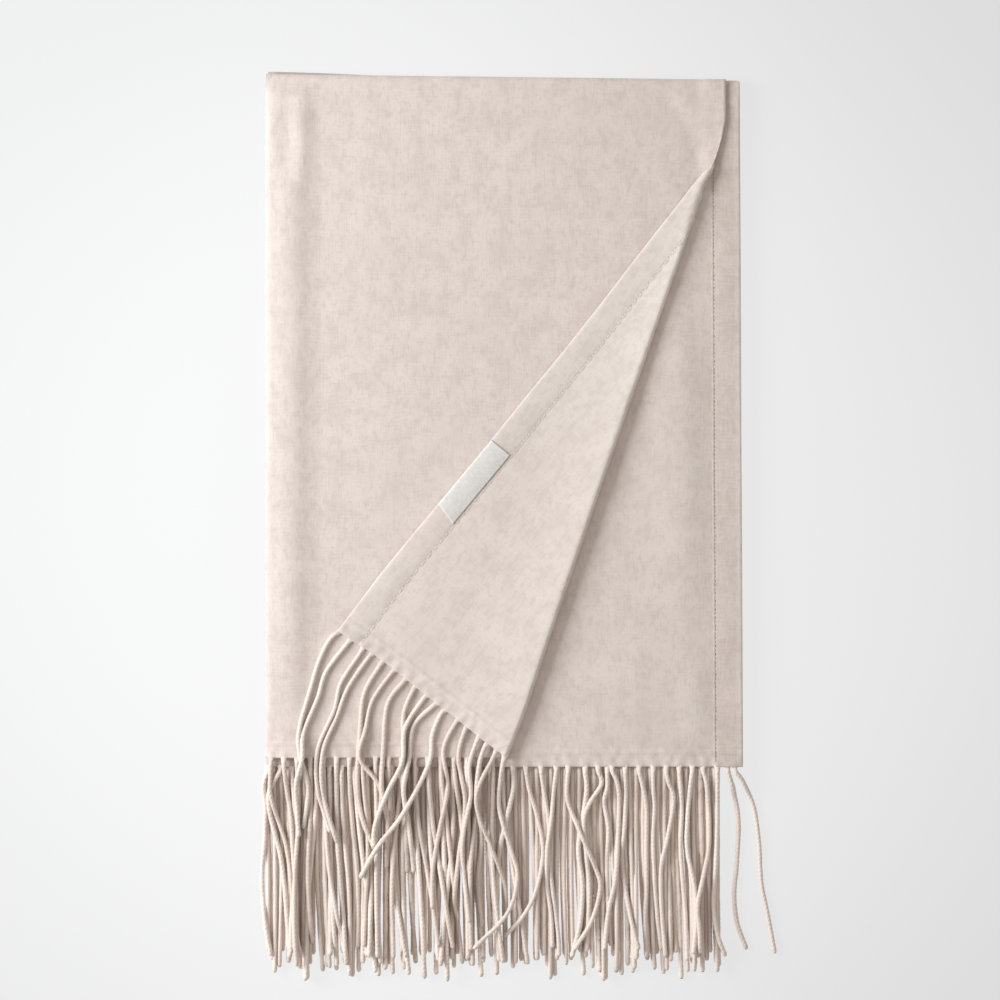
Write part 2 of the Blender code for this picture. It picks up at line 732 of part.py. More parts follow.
def main():
    clear_scene()
    collection = bpy.data.collections.new("pashmina_shawl")
    bpy.context.scene.collection.children.link(collection)
    root = bpy.data.objects.new("shawl_origin", None)
    collection.objects.link(root)
    make_inner_layers(collection, root)
    make_second_layer(collection, root)
    make_second_hem(collection, root)
    make_front_layer(collection, root)
    make_flap_hem(collection, root)
    make_label(collection, root)
    pile = Pile()
    make_hanging_fringes(pile, collection, root)
    make_flap_fringe(pile, collection, root)
    centre_on(root, [piece for piece in collection.objects if piece.type == "MESH"])


main()
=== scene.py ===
import math
import random

import bmesh
import bpy
import numpy as np
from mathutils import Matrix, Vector


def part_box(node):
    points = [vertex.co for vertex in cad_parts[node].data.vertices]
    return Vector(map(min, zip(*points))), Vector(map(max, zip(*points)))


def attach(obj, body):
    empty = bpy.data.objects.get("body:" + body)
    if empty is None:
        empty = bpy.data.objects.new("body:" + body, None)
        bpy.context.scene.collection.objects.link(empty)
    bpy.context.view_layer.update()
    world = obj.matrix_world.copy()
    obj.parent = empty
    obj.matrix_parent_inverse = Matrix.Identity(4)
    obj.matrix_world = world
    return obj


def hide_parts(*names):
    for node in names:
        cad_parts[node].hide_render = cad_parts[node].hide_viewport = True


# A pashmina shawl, folded flat, with the lower right corner of its top layer turned back.
# Layout: x right from the lengthwise fold, y up from the fringe, z up from the table, metres.
# A cut position, u across and v along, says where a point is on the cloth before it is folded.

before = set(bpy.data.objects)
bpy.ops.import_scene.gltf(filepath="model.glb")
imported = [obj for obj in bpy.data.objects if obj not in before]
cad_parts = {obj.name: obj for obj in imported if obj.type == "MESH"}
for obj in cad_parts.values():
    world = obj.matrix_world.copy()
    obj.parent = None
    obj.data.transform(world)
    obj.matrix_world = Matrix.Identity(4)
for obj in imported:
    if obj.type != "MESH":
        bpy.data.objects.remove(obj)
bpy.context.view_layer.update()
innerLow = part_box("inner_layers")[0]
toTable = Vector((innerLow.x, innerLow.y, 0.0))  # from the layout to the object's own frame
print("frame loaded,", len(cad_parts), "nodes")


def ease(value):  # smooth step between 0 and 1
    value = min(max(value, 0.0), 1.0)
    return value * value * (3.0 - 2.0 * value)


def spread(start, end, count):
    return [start + (end - start) * index / count for index in range(count + 1)]


def reading(rows, value):  # straight lines through rows of place and amount
    if value <= rows[0][0]:
        return rows[0][1]
    for (before, low), (after, high) in zip(rows, rows[1:]):
        if value <= after:
            return low + (high - low) * (value - before) / (after - before)
    return rows[-1][1]


def softened(rows, blur):  # the same rows as a finely stepped table without corners
    places = np.arange(rows[0][0] - blur, rows[-1][0] + blur, blur / 12.0)
    amounts = np.array([reading(rows, place) for place in places])
    weights = np.hanning(15)[1:-1]
    padded = np.pad(amounts, len(weights) // 2, mode="edge")
    return places, np.convolve(padded, weights / weights.sum(), mode="valid")


def softReading(table, value):
    return float(np.interp(value, *table))


def rising(value, start, length):  # from 0 at the start to 1 a length further on
    return ease((value - start) / length)


def inMetres(table):  # from millimetres, at any depth
    if isinstance(table, tuple):
        return [inMetres(part) for part in table]
    return table / 1000.0


def arithmetic(operation, turned=False):  # a Math node for the sign between two values
    def act(wire, other):
        first, second = (other, wire) if turned else (wire, other)
        return wire.finish.add("ShaderNodeMath", {"operation": operation}, {0: first, 1: second})
    return act


class Wire:  # an output socket, where arithmetic adds Math nodes
    def __init__(self, finish, socket):
        self.finish = finish
        self.socket = socket

    __add__, __radd__ = arithmetic("ADD"), arithmetic("ADD", True)
    __sub__, __rsub__ = arithmetic("SUBTRACT"), arithmetic("SUBTRACT", True)
    __mul__ = arithmetic("MULTIPLY")


class Finish:  # one material and the nodes it is made of
    def __init__(self, name):
        self.material = bpy.data.materials.new(name)
        self.material.use_nodes = True
        self.tree = self.material.node_tree
        self.tree.nodes.clear()

    def add(self, kind, settings=None, values=None, output=0):
        node = self.tree.nodes.new(kind)
        for key, value in (settings or {}).items():
            setattr(node, key, value)
        for key, value in (values or {}).items():
            if isinstance(value, Wire):
                self.tree.links.new(value.socket, node.inputs[key])
            else:
                node.inputs[key].default_value = value
        return Wire(self, node.outputs[output]) if node.outputs else node

    def cut(self):  # where a point is on the flat cut, in metres
        return self.add("ShaderNodeUVMap", {"uv_map": "cut"})

    def both(self, vector):
        split = self.add("ShaderNodeSeparateXYZ", values={0: vector})
        return split, Wire(self, split.socket.node.outputs[1])

    def stretched(self, vector, scale):
        return self.add("ShaderNodeVectorMath", {"operation": "MULTIPLY"}, {0: vector, 1: scale})

    def grain(self, vector, scale, detail=2.0, rough=0.5):  # noise, so many grains a metre
        values = {"Vector": self.stretched(vector, (*scale, 1.0)), "Scale": 1.0,
                  "Detail": detail, "Roughness": rough}
        return self.add("ShaderNodeTexNoise", {"noise_dimensions": "2D"}, values)

    def ripple(self, value):
        return self.add("ShaderNodeMath", {"operation": "SINE"}, {0: value})

    def between(self, value, low, high):  # 0 at low, 1 at high
        settings = {"interpolation_type": "SMOOTHSTEP"}
        return self.add("ShaderNodeMapRange", settings, {0: value, 1: low, 2: high})

    def blend(self, factor, first, second):
        return self.add("ShaderNodeMix", {"data_type": "RGBA"}, {0: factor, 6: first, 7: second}, 2)

    def close(self, colour, roughness, height, sheen):
        bump = self.add("ShaderNodeBump", values={"Height": height, "Distance": 0.001})
        values = {
            "Base Color": colour, "Roughness": roughness, "Normal": bump,
            "Specular IOR Level": 0.25, "Sheen Weight": sheen, "Sheen Roughness": 0.45,
            "Sheen Tint": (1.0, 0.96, 0.92, 1.0),
        }
        shader = self.add("ShaderNodeBsdfPrincipled", values=values)
        self.add("ShaderNodeOutputMaterial", values={"Surface": shader})
        return self.material


wool = {
    "cream": (0.735, 0.645, 0.592, 1.0),
    "oatmeal": (0.636, 0.551, 0.5, 1.0),
    "taupe": (0.43, 0.348, 0.298, 1.0),
    "blush": (0.685, 0.585, 0.565, 1.0),
    "fleece": (0.828, 0.75, 0.688, 1.0),
    "fleeceDim": (0.735, 0.662, 0.605, 1.0),
    "cord": (0.735, 0.62, 0.545, 1.0),
    "cordLight": (0.86, 0.752, 0.68, 1.0),
    "cordPale": (0.93, 0.82, 0.745, 1.0),
    "umber": (0.3, 0.215, 0.165, 1.0),
    "yarnTurn": math.tau / 0.00085,  # the weave's pitch
    "heather": (1150.0, 190.0),  # grains a metre across and along a yarn
    "slub": (760.0, 88.0),
    "patch": (66.0, 52.0),
    "cloud": (26.0, 20.0),
    "mote": (215.0, 150.0),
    "nap": (800.0, 800.0),
    "fibre": (2300.0, 170.0),  # these two on the fringe's cords
    "fleck": (900.0, 320.0),
    "lightMix": (0.14, 0.66, 0.8),  # shares of heather, patches and motes
    "lightRange": (0.63, 1.06),
    "slubRange": (0.57, 0.72),
    "paleRange": (0.28, 0.42),
    "moteRange": (0.54, 0.7),
    "cloudRange": (0.5, 0.7),
    "darkening": (0.07, 0.15),  # of slubs and motes
    "paling": 0.28,
    "blushing": 0.28,
    "heights": (0.016, 0.05, 0.025, 0.03),  # of weave, nap, heather and slubs
    "cornerLightRise": (0.16, 0.36),  # painted light on the turned corner rises between these heights of the cut
    "edgeHighlight": (0.345, 0.35),
    "shadeAlong": (0.0046, 0.0026),  # painted shade on the second layer's lower edge, where the front layer's edge and fringe shade it
    "shadeAcross": (0.176, 0.166),
    "sheen": 0.2,
}


def brushedWool(name, darker=0.0, lighter=0.0, footShade=0.0, paintedCornerLight=0.0, edge=0.0):
    # plain weave of heathered yarn with a nap; lighter paints light and darker paints shade into
    # its colour
    finish = Finish(name)
    cut = finish.cut()
    across, along = finish.both(cut)
    turned = wool["heather"][::-1]
    heather = finish.grain(cut, wool["heather"], 1.0) + finish.grain(cut, turned, 1.0)
    warpSlub = finish.grain(cut, wool["slub"], 1.0)
    weftSlub = finish.grain(cut, wool["slub"][::-1], 1.0)
    patches = finish.grain(cut, wool["patch"], 3.0, 0.55)
    clouds = finish.grain(cut, wool["cloud"], 2.0)
    motes = finish.grain(cut, wool["mote"], 2.0, 0.55)
    nap = finish.grain(cut, wool["nap"], 2.0, 0.65)
    heatherShare, patchShare, moteShare = wool["lightMix"]
    mixed = heather * heatherShare + patches * patchShare + motes * moteShare
    light = finish.between(mixed, *wool["lightRange"])
    dark, pale = wool["slubRange"], wool["paleRange"]
    slubs = finish.between(warpSlub, *dark) + finish.between(weftSlub, *dark)
    thin = 2.0 - finish.between(warpSlub, *pale) - finish.between(weftSlub, *pale)
    colour = finish.blend(light, wool["oatmeal"], wool["cream"])
    slubDark, moteDark = wool["darkening"]
    flecks = finish.between(motes, *wool["moteRange"]) * moteDark
    colour = finish.blend(slubs * slubDark + flecks + darker, colour, wool["taupe"])
    colour = finish.blend(thin * wool["paling"], colour, wool["cream"])
    blush = finish.between(clouds, *wool["cloudRange"]) * wool["blushing"]
    colour = finish.blend(blush, colour, wool["blush"])
    if paintedCornerLight:  # painted light, stronger higher on the turned corner
        lighter = lighter + finish.between(along, *wool["cornerLightRise"]) * paintedCornerLight
    if edge:  # painted highlight along the outer edge
        lighter = lighter + finish.between(across, *wool["edgeHighlight"]) * edge
    colour = finish.blend(lighter, colour, finish.blend(light, wool["fleeceDim"], wool["fleece"]))
    # painted shade: the second layer's strip under the front layer's edge and fringe is darkened
    # towards umber
    if footShade:
        foot = finish.between(along, *wool["shadeAlong"])
        foot = foot * finish.between(across, *wool["shadeAcross"])
        colour = finish.blend(foot * footShade, colour, wool["umber"])
    weave = finish.ripple(across * wool["yarnTurn"]) * finish.ripple(along * wool["yarnTurn"])
    weaveHigh, napHigh, heatherHigh, slubHigh = wool["heights"]
    height = weave * weaveHigh + nap * napHigh + heather * heatherHigh + slubs * slubHigh
    return finish.close(colour, 0.82 + nap * 0.16, height, wool["sheen"])


def twistedWool(name, lighter=0.0):  # fringe cord, its fibres lying along the plies
    finish = Finish(name)
    cut = finish.cut()
    tone = finish.add("ShaderNodeAttribute", {"attribute_name": "tone"}, output=2)
    fibres = finish.grain(cut, wool["fibre"], 2.0, 0.6)
    flecks = finish.grain(cut, wool["fleck"], 2.0, 0.6)
    light = finish.between(fibres * 0.6 + tone * 0.4, 0.2, 0.75)
    colour = finish.blend(light, wool["cord"], wool["cordLight"])
    colour = finish.blend(finish.between(flecks, 0.55, 0.8) * 0.25, colour, wool["taupe"])
    colour = finish.blend(lighter, colour, wool["cordPale"])
    height = fibres * 0.16 + flecks * 0.12
    return finish.close(colour, 0.84 + fibres * 0.12, height, wool["sheen"])


sewing = {
    "pale": (0.665, 0.578, 0.518, 1.0),  # on the turned-back corner
    # partly painted shade: the second hem's thread is darker than the same thread on the flap,
    # standing for the shadow in its stitch trough
    "dark": (0.375, 0.3, 0.255, 1.0),
    "shaded": 0.7,
    "turn": (6000.0, 9000.0),  # the thread's plies
    "fibre": (6000.0, 1500.0),
}


def sewingThread(name, colour):
    finish = Finish(name)
    cut = finish.cut()
    across, along = finish.both(cut)
    turnAcross, turnAlong = sewing["turn"]
    ply = finish.ripple(along * turnAlong + across * turnAcross)
    fibres = finish.grain(cut, sewing["fibre"])
    dark = tuple(sewing["shaded"] * part for part in colour[:3]) + (1.0,)
    shown = finish.blend(finish.between(ply * 0.4 + fibres, 0.0, 1.0), dark, colour)
    return finish.close(shown, 0.65 + fibres * 0.15, ply * 0.03, 0.05)


satin = {
    "dim": (0.68, 0.652, 0.615, 1.0),
    "white": (0.77, 0.748, 0.712, 1.0),
    "rib": 0.0009,
    "thread": 0.0005,
    "uneven": (260.0, 900.0),
}


def ribbonSatin(name):  # white woven ribbon with fine ribs across it
    finish = Finish(name)
    cut = finish.cut()
    across, along = finish.both(cut)
    ribs = finish.ripple(along * (math.tau / satin["rib"]))
    threads = finish.ripple(across * (math.tau / satin["thread"]))
    uneven = finish.grain(cut, satin["uneven"], 2.0, 0.6)
    light = finish.between(uneven + ribs * 0.12, 0.32, 0.68)
    shown = finish.blend(light, satin["dim"], satin["white"])
    return finish.close(shown, 0.42 + uneven * 0.2, ribs * 0.02 + threads * 0.01, 0.1)


cloth = {
    "thick": 0.0011, "hemThick": 0.001, "gap": 0.0003, "hiddenLayers": 6,
    "frontWidth": 0.338, "frontBottom": 0.0042, "innerWidth": 0.349,
    "secondLeft": 0.003, "secondWidth": 0.3508, "secondTaper": 0.0024, "secondBottom": -0.0028,
    "topLeft": 0.506, "topSlope": 0.0115,
    "wrapStart": 0.5, "frontWrap": 0.0046,  # where the top bend starts, and its radius
    "frontOver": 0.004, "secondOver": 0.007,  # how much of the cut's height is past that start
    "frontRest": 0.0004, "secondRest": 0.0003,  # how much looser than pressed flat a layer lies
    "hemRamp": (0.316, 0.327), "rollFade": 0.02,
    "trim": 0.0012,  # the hem closes the edge, so the wall stops a little inside it
}
# The soft roll along the lengthwise fold: cut, across and rise in millimetres
leftRoll = inMetres((
    (-3, 0.55, -1.6), (-1.2, 0.8, 0), (1, 2.1, 1.1), (5, 5.5, 2), (13, 13, 3.3), (20, 20, 3.5),
    (25, 25, 2.9), (32, 32, 1.4), (40, 40, 0.3), (50, 50, 0),
))
corner = {  # the turned-back corner and its fold, its four long tables in millimetres
    "foot": Vector((0.1768, 0.0029, 0.0)),
    "length": 0.4845,
    "angle": math.radians(19.47),
    "radius": ((0.0, 0.0043), (0.25, 0.0043), (0.7, 0.0035), (0.9, 0.0027), (1.0, 0.0022)),
    "high": (  # half the roll's height, along the fold
        (0, 3.4), (100, 4.1), (220, 4.3), (340, 3), (436, 2.1), (484.5, 1.9),
    ),
    "squash": 0.6,  # half the roll's width, as a share of the radius
    "settle": 0.06,
    "pull": (  # how far the cloth's right edge is drawn in, by the cut's height
        (0, -1), (50, -0.6), (80, 0.2), (112, 1.6), (180, 4.2), (220, 4.6), (260, 5.6), (300, 5.8),
        (350, 5.4), (380, 5.6), (410, 6.4), (430, 7), (439, 7.2), (446.1, 5.8), (457.2, 2.8),
        (471.8, 0), (500, 0),
    ),
    "pullStart": 0.25,
    "pullEnd": 0.318,
    "drop": (  # how far the flap's fringe edge hangs lower, by the cut's width
        (170, 0), (190, 1.5), (205, 2.4), (230, 2.7), (250, 3.6), (290, 4), (308, 4.8), (324, 7),
        (338, 7.6),
    ),
    "dropHeight": 0.11,
    "curl": 0.0013,  # the right edge above the corner stands up a little
    "curlWide": 0.014,
    "curlRise": (0.4, 0.05),  # where it starts, and how soon it is full
    "curlFall": (0.502, 0.03),
    "nearest": 0.012,  # the flap settles over at least this much
    "edgeKeep": 0.012,
    "waverReach": 0.08,
    "waver": (
        (0, 0), (40, 1.3), (95, 0), (215, -1.6), (390, -3), (427.5, -3.6), (446.8, -4.2),
        (456, -3.8), (464, -3.2), (470, -3.2), (481.1, -3.8), (496, -5),
    ),
}
thick, wrapStart = cloth["thick"], cloth["wrapStart"]
frontWidth, frontBottom = cloth["frontWidth"], cloth["frontBottom"]
secondWidth, secondBottom = cloth["secondWidth"], cloth["secondBottom"]
pitch = thick + cloth["gap"]
secondLevel = cloth["hiddenLayers"] * pitch + thick / 2
frontLevel = secondLevel + pitch
secondWrap = cloth["frontWrap"] - pitch
rollAcross = [(cut, across) for cut, across, rise in leftRoll]
rollRise = softened([(across, rise) for cut, across, rise in leftRoll], 0.006)
foldWaver = softened(inMetres(corner["waver"]), 0.012)
rollHigh = softened(inMetres(corner["high"]), 0.04)
edgePull = softened(inMetres(corner["pull"]), 0.016)
edgeDrop = softened(inMetres(corner["drop"]), 0.01)
foldAlong = Vector((math.sin(corner["angle"]), math.cos(corner["angle"]), 0.0))
foldAcross = Vector((math.cos(corner["angle"]), -math.sin(corner["angle"]), 0.0))

# Soft troughs and ridges in millimetres: start x and y, end x and y, half width, depth.
# A ridge's depth is below zero.
frontCreases = inMetres((
    (37.5, 30, 36, 480, 10.5, 0.35), (288, 495, 312, 468, 6, 0.6),
    (311, 470, 316, 440, 5, 0.5), (304, 498, 326, 462, 6, -0.35),
    (115, 60, 128, 330, 19, 0.16), (70, 250, 86, 470, 17, -0.14),
    (190, 250, 230, 480, 22, 0.14), (46, 487, 260, 480, 6, -0.1),
    (16.5, 494, 16, 428, 8, 1.9), (28.5, 492, 28, 420, 5.5, -0.7),
))
secondCreases = inMetres((
    (334, 105, 334, 318, 15, 1.15), (337, 12, 337, 85, 12, 0.95),
    (306, 120, 300, 335, 20, -1.45), (319, 12, 315, 90, 13, -0.8),
    (330, 330, 327, 440, 8, 0.22), (262, 18, 270, 118, 23, -0.4),
    (210, 20, 230, 70, 13, 0.2), (306, 8, 302, 40, 5, 0.16),
    (242, 6, 247, 30, 4.5, 0.14),
))
# Broad unevenness that the upper layers share: wave length, heading, phase, height
swells = (
    (0.171, 0.35, 0.4, 0.0002), (0.118, 1.72, 2.1, 0.00014),
    (0.083, 2.6, 4.4, 0.00009), (0.24, 1.05, 1.3, 0.00022),
)
loft = {
    "height": 0.0011, "right": 0.332, "fall": 0.03, "left": 0.04, "top": 0.495, "topFall": 0.05,
}
fringeRows = {  # first root, spacing, count, share of stray strands
    "second": (0.002, 0.00905, 20, 0.3),
    "front": (0.0048, 0.00955, 18, 0.35),
}
hiddenRow = {
    "first": 0.001, "step": 0.00522, "count": 64, "calm": (0.1, 0.52), "lean": 0.007,
    "between": 0.0026,  # the lowest row lies between the strands of the next
}
# Where the strands right of the fold leave the second layer, in millimetres
rightRoots = inMetres((
    182, 191.5, 202.5, 213.5, 222.3, 234.8, 244.4, 251, 254.6, 264.2, 274.4, 284.7, 294.3, 303.8,
    313.3, 321.4, 331.7, 339.5, 344.9,
))
flapRoots = inMetres((  # from the free corner to the fold
    335.8, 326.1, 316, 307.1, 298.2, 287.3, 276.8, 267.4, 256.9, 247.4, 239.3, 227.1, 218.6, 207.5,
    199.9, 192.5, 185.6,
))


def rowRoots(name):
    first, step, count = fringeRows[name][:3]
    return [first + step * index for index in range(count)]


secondRoots = rowRoots("second") + rightRoots
frontRoots = rowRoots("front") + flapRoots


def swell(x, y):
    total = 0.0
    for length, heading, phase, height in swells:
        place = (x * math.cos(heading) + y * math.sin(heading)) / length
        total += height * (1.0 + math.sin(math.tau * place + phase))
    fade = ease((loft["right"] - x) / loft["fall"]) * ease(x / loft["left"])
    return total + loft["height"] * fade * ease((loft["top"] - y) / loft["topFall"])


def creased(rows, x, y):  # how far the troughs take the cloth down
    total = 0.0
    for startX, startY, endX, endY, wide, depth in rows:
        runX, runY = endX - startX, endY - startY
        long = math.hypot(runX, runY)
        along = ((x - startX) * runX + (y - startY) * runY) / long
        off = ((x - startX) * runY - (y - startY) * runX) / long
        if -wide < along < long + wide and abs(off) < 3.0 * wide:
            ends = ease((along + wide) / (3.0 * wide)) * ease((long + wide - along) / (3.0 * wide))
            total += depth * ends * math.exp(-(off / wide) ** 2)
    return total


heading = {
    "height": 0.0105, "line": 0.00062, "lineWide": 0.0011, "tuck": 0.00085, "tuckWide": 0.0026,
    "lump": 0.00026, "lumpWide": 0.0118, "uneven": (0.2, 171.0), "rowTurn": 420.0,
    "rowUneven": (2.0, 97.0),
}


def headed(u, v, edge, roots):  # the band over the fringe: a line, and a tuck at each strand
    above = v - edge
    if above > 2.0 * heading["height"]:
        return 0.0
    line = heading["line"] * math.exp(-((above - heading["height"]) / heading["lineWide"]) ** 2)
    nearest = min(abs(u - root) for root in roots)
    tuck = heading["tuck"] * math.exp(-(nearest / heading["tuckWide"]) ** 2)
    (uneven, turn), (rowUneven, rowTurn) = heading["uneven"], heading["rowUneven"]
    place = u / heading["lumpWide"] + uneven * math.sin(u * turn)
    row = above * heading["rowTurn"] + rowUneven * math.sin(u * rowTurn)
    lump = heading["lump"] * math.sin(math.tau * place) * math.sin(row)
    fade = ease(2.0 - above / heading["height"])
    tuck *= ease(1.0 - above / heading["height"])
    return line + tuck + (lump - 0.3 * heading["tuck"]) * fade


def wrapLine(x):  # where the layers start to bend over the top
    return cloth["topLeft"] - cloth["frontWrap"] - thick / 2 - cloth["topSlope"] * x


def overTheTop(x, y, radius):
    start = wrapLine(x)
    if y <= wrapStart:
        return y + (start - wrapStart) * (y / wrapStart) ** 2, 0.0
    angle = (y - wrapStart) / radius
    return start + radius * math.sin(angle), radius * (1.0 - math.cos(angle))


def foldAxes(u, v):
    offset = Vector((u, v, 0.0)) - corner["foot"]
    return offset.dot(foldAlong), offset.dot(foldAcross)


def rollSize(along):  # half its width, half its height, and the cloth's way round it
    radius = reading(corner["radius"], along / corner["length"])
    wide = radius * corner["squash"]
    return wide, softReading(rollHigh, along), (math.pi - 2.0) * radius + 2.0 * wide


def pastFold(u, v):  # how far a point is past the start of the roll, and the roll's size
    along, across = foldAxes(u, v)
    size = rollSize(along)
    return across - softReading(foldWaver, along) + size[0], size


def settling(share):  # from 1 at the roll to 0 where the flap lies down
    return 1.0 - ease(share ** 0.57)


def drawnIn(u, v):  # the cut as it lies: right edge drawn in, turned corner hanging lower
    start, end = corner["pullStart"], corner["pullEnd"]
    across = u - softReading(edgePull, v) * rising(u, start, end - start)
    return across, v - softReading(edgeDrop, u) * (1.0 - ease(v / corner["dropHeight"]))


def freeEdgePast(v):  # how far the free edge at this height lies past the roll
    past, (wide, high, girth) = pastFold(*drawnIn(frontWidth, v))
    return past - girth


def turnBack(u, v):  # place of a point of the front layer, its lift, and how far it is turned over
    past, (wide, high, girth) = pastFold(u, v)
    if past <= 0.0:
        return u, v, 0.0, 0.0
    base = Vector((u, v, 0.0)) - foldAcross * past
    if past < girth:
        reach = wide * math.sin(math.pi * past / girth)
        rise = high * (1.0 - math.cos(math.pi * past / girth))
    else:
        reach = girth - past
        settle = min(corner["settle"], max(freeEdgePast(v), corner["nearest"]))
        rise = pitch + (2.0 * high - pitch) * settling(-reach / settle)
    spot = base + foldAcross * reach
    return spot.x, spot.y, rise, ease(2.0 * past / girth)


def frontPoint(u, v):
    x, y, rise, turned = turnBack(*drawnIn(u, v))
    if x < leftRoll[-1][0]:
        x = reading(rollAcross, x)
    low, high = cloth["hemRamp"]
    top = wrapStart + cloth["frontOver"]
    side = softReading(rollRise, x) * ease((top - y) / cloth["rollFade"])
    level = frontLevel + cloth["frontRest"] + rise + side + swell(x, y)
    level += (cloth["hemThick"] + cloth["gap"]) * rising(x, low, high - low)
    level += headed(u, v, frontBottom, frontRoots)
    curl = corner["curl"] * ease((u - frontWidth) / corner["curlWide"] + 1.0)
    (low, soon), (high, late) = corner["curlRise"], corner["curlFall"]
    curl *= rising(v, low, soon) * ease((high - v) / late)
    level += (1.0 - turned) * (curl - creased(frontCreases, x, y))
    y, drop = overTheTop(x, y, cloth["frontWrap"])
    return Vector((x, y, level - drop))


def secondPoint(u, v):
    x = u * (1.0 - cloth["secondTaper"] / secondWidth * v / wrapStart)
    y, drop = overTheTop(x, v, secondWrap)
    level = secondLevel + cloth["secondRest"] + swell(x, v) - creased(secondCreases, x, v)
    level += headed(u, v, secondBottom, secondRoots)
    return Vector((x, y, level - drop))


def movedOut(surface, u, v, distance):  # a surface point moved along its normal
    step = 0.0002
    across = surface(u + step, v) - surface(u - step, v)
    along = surface(u, v + step) - surface(u, v - step)
    return surface(u, v) + across.cross(along).normalized() * distance


def placed(name, data):
    thing = bpy.data.objects.new(name, data)
    bpy.context.scene.collection.objects.link(thing)
    return thing


def asPiece(name, bm, material, node, stands=True):  # stands: it takes the CAD node's place
    for vert in bm.verts:
        vert.co += toTable
    for face in bm.faces:
        face.smooth = True
    mesh = bpy.data.meshes.new(name)
    bm.to_mesh(mesh)
    bm.free()
    mesh.materials.append(material)
    piece = placed(name, mesh)
    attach(piece, "root")
    if stands:
        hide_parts(node)
    print("made", name, len(mesh.polygons), "faces")
    return piece


def cutSheet(columns, rows):  # a flat grid with its lines at the given cut positions
    bm = bmesh.new()
    across, along = len(columns) - 1, len(rows) - 1
    bmesh.ops.create_grid(bm, x_segments=across, y_segments=along, size=0.5)
    for vert in bm.verts:
        vert.co.x = columns[round((vert.co.x + 0.5) * across)]
        vert.co.y = rows[round((vert.co.y + 0.5) * along)]
    return bm


def foldLine(low, high):  # a line beside the fold, by its offset at the foot and at the head
    foot = corner["foot"] + foldAcross * low
    head = corner["foot"] + foldAlong * corner["length"] + foldAcross * high
    along = (head - foot).normalized()
    return foot, along.cross(Vector((0.0, 0.0, 1.0)))


def score(bm, share, shift=0.0, keepOutside=False):  # an edge line, by its share of the roll
    offset = share * (math.pi - 2.0) + (2.0 * share - 1.0) * corner["squash"]
    low, high = corner["radius"][1][1], corner["radius"][-1][1]
    foot, normal = foldLine(low * offset + shift, high * offset + shift)
    geometry = bm.verts[:] + bm.edges[:] + bm.faces[:]
    bmesh.ops.bisect_plane(
        bm, geom=geometry, dist=0.0002, plane_co=foot, plane_no=normal, clear_inner=keepOutside
    )


def followWaver(bm):  # lines the grid up with the fold, but keeps the cloth's right edge
    for vert in bm.verts:
        along, across = foldAxes(vert.co.x, vert.co.y)
        nearness = 1.0 - ease(abs(across) / corner["waverReach"])
        nearness *= ease((frontWidth - vert.co.x) / corner["edgeKeep"])
        vert.co += foldAcross * softReading(foldWaver, along) * nearness


def mapCut(bm, flat=lambda place: place.xy):
    cutMap = bm.loops.layers.uv.new("cut")
    for face in bm.faces:
        for loop in face.loops:
            loop[cutMap].uv = flat(loop.vert.co)


def makeSheet(name, bm, material, node, shape, thickness):  # from the cut to a wall of cloth
    bmesh.ops.triangulate(bm, faces=bm.faces[:])
    mapCut(bm)
    for vert in bm.verts:
        vert.co = shape(vert.co.x, vert.co.y)
    piece = asPiece(name, bm, material, node)
    wall = piece.modifiers.new("Wall", "SOLIDIFY")
    wall.thickness = thickness
    wall.offset = 0.0
    return piece


layerGrid = {  # up to what height the rows over the fringe are fine, rows above, columns
    "front": (0.018, 134, 160), "second": (0.015, 120, 190),
    "bandRows": 12, "bendRows": 8, "roll": (0.04, 24), "roundSteps": 12,
}


def layerRows(bottom, band, steps, bend):  # from the fringe's edge to the end of the top bend
    rows = spread(bottom, band, layerGrid["bandRows"]) + spread(band, wrapStart, steps)[1:]
    end = wrapStart + bend * math.pi / 2
    return rows + spread(wrapStart, end, layerGrid["bendRows"])[1:]


def makeFrontLayer(material, backMaterial):
    (roll, rollColumns), (band, rows, columns) = layerGrid["roll"], layerGrid["front"]
    columns = spread(leftRoll[0][0], roll, rollColumns) + spread(roll, frontWidth, columns)[1:]
    bm = cutSheet(columns, layerRows(frontBottom, band, rows, cloth["frontWrap"]))
    for share in spread(0.0, 1.0, layerGrid["roundSteps"]):
        score(bm, share)
    followWaver(bm)
    for vert in bm.verts:
        if vert.co.x > frontWidth - 0.0002:
            vert.co.x -= cloth["trim"] * (1.0 - hemTucked(vert.co.y))
    piece = makeSheet("frontLayer", bm, material, "front_layer", frontPoint, thick)
    piece.data.materials.append(backMaterial)
    piece.modifiers["Wall"].material_offset = 1
    return piece


def makeSecondLayer(material):
    band, rows, columns = layerGrid["second"]
    columns = spread(cloth["secondLeft"], secondWidth - cloth["trim"], columns)
    bm = cutSheet(columns, layerRows(secondBottom, band, rows, secondWrap))
    return makeSheet("secondLayer", bm, material, "second_layer", secondPoint, thick)


stack = {  # the hidden layers
    "rows": (  # millimetres: height, and how far the left, right, top and bottom reach out
        (0, -0.9, -1.6, -0.6, -1), (0.55, -0.4, -0.8, 0.4, -0.3), (1.25, 0, -2, -0.6, 0),
        (1.95, -0.3, -0.6, -0.1, -0.3), (2.65, -1.3, -2.2, -1.4, -1.4),
        (3.35, -0.5, -1.2, -0.6, -0.6), (4.05, -0.2, -2.3, -1.5, -0.2),
        (4.75, -0.5, -0.5, -0.9, -0.6), (5.4, -1.3, -1.8, -1.7, -1.4), (5.5, -1.4, -2, -3.4, -1.4),
        (6.15, -0.6, -1, -3.1, 0), (6.85, -0.3, -2.2, -3.8, -0.8), (7.55, -0.6, -0.9, -4.1, 0),
        (8.1, -1.2, -1.6, -5.6, -0.8),
    ),
    "steps": 48, "bottom": -0.003, "corner": 0.001, "wave": 0.0003,
    "peek": 0.0026, "peekEnd": 0.125, "peekLevel": 0.0024,
}


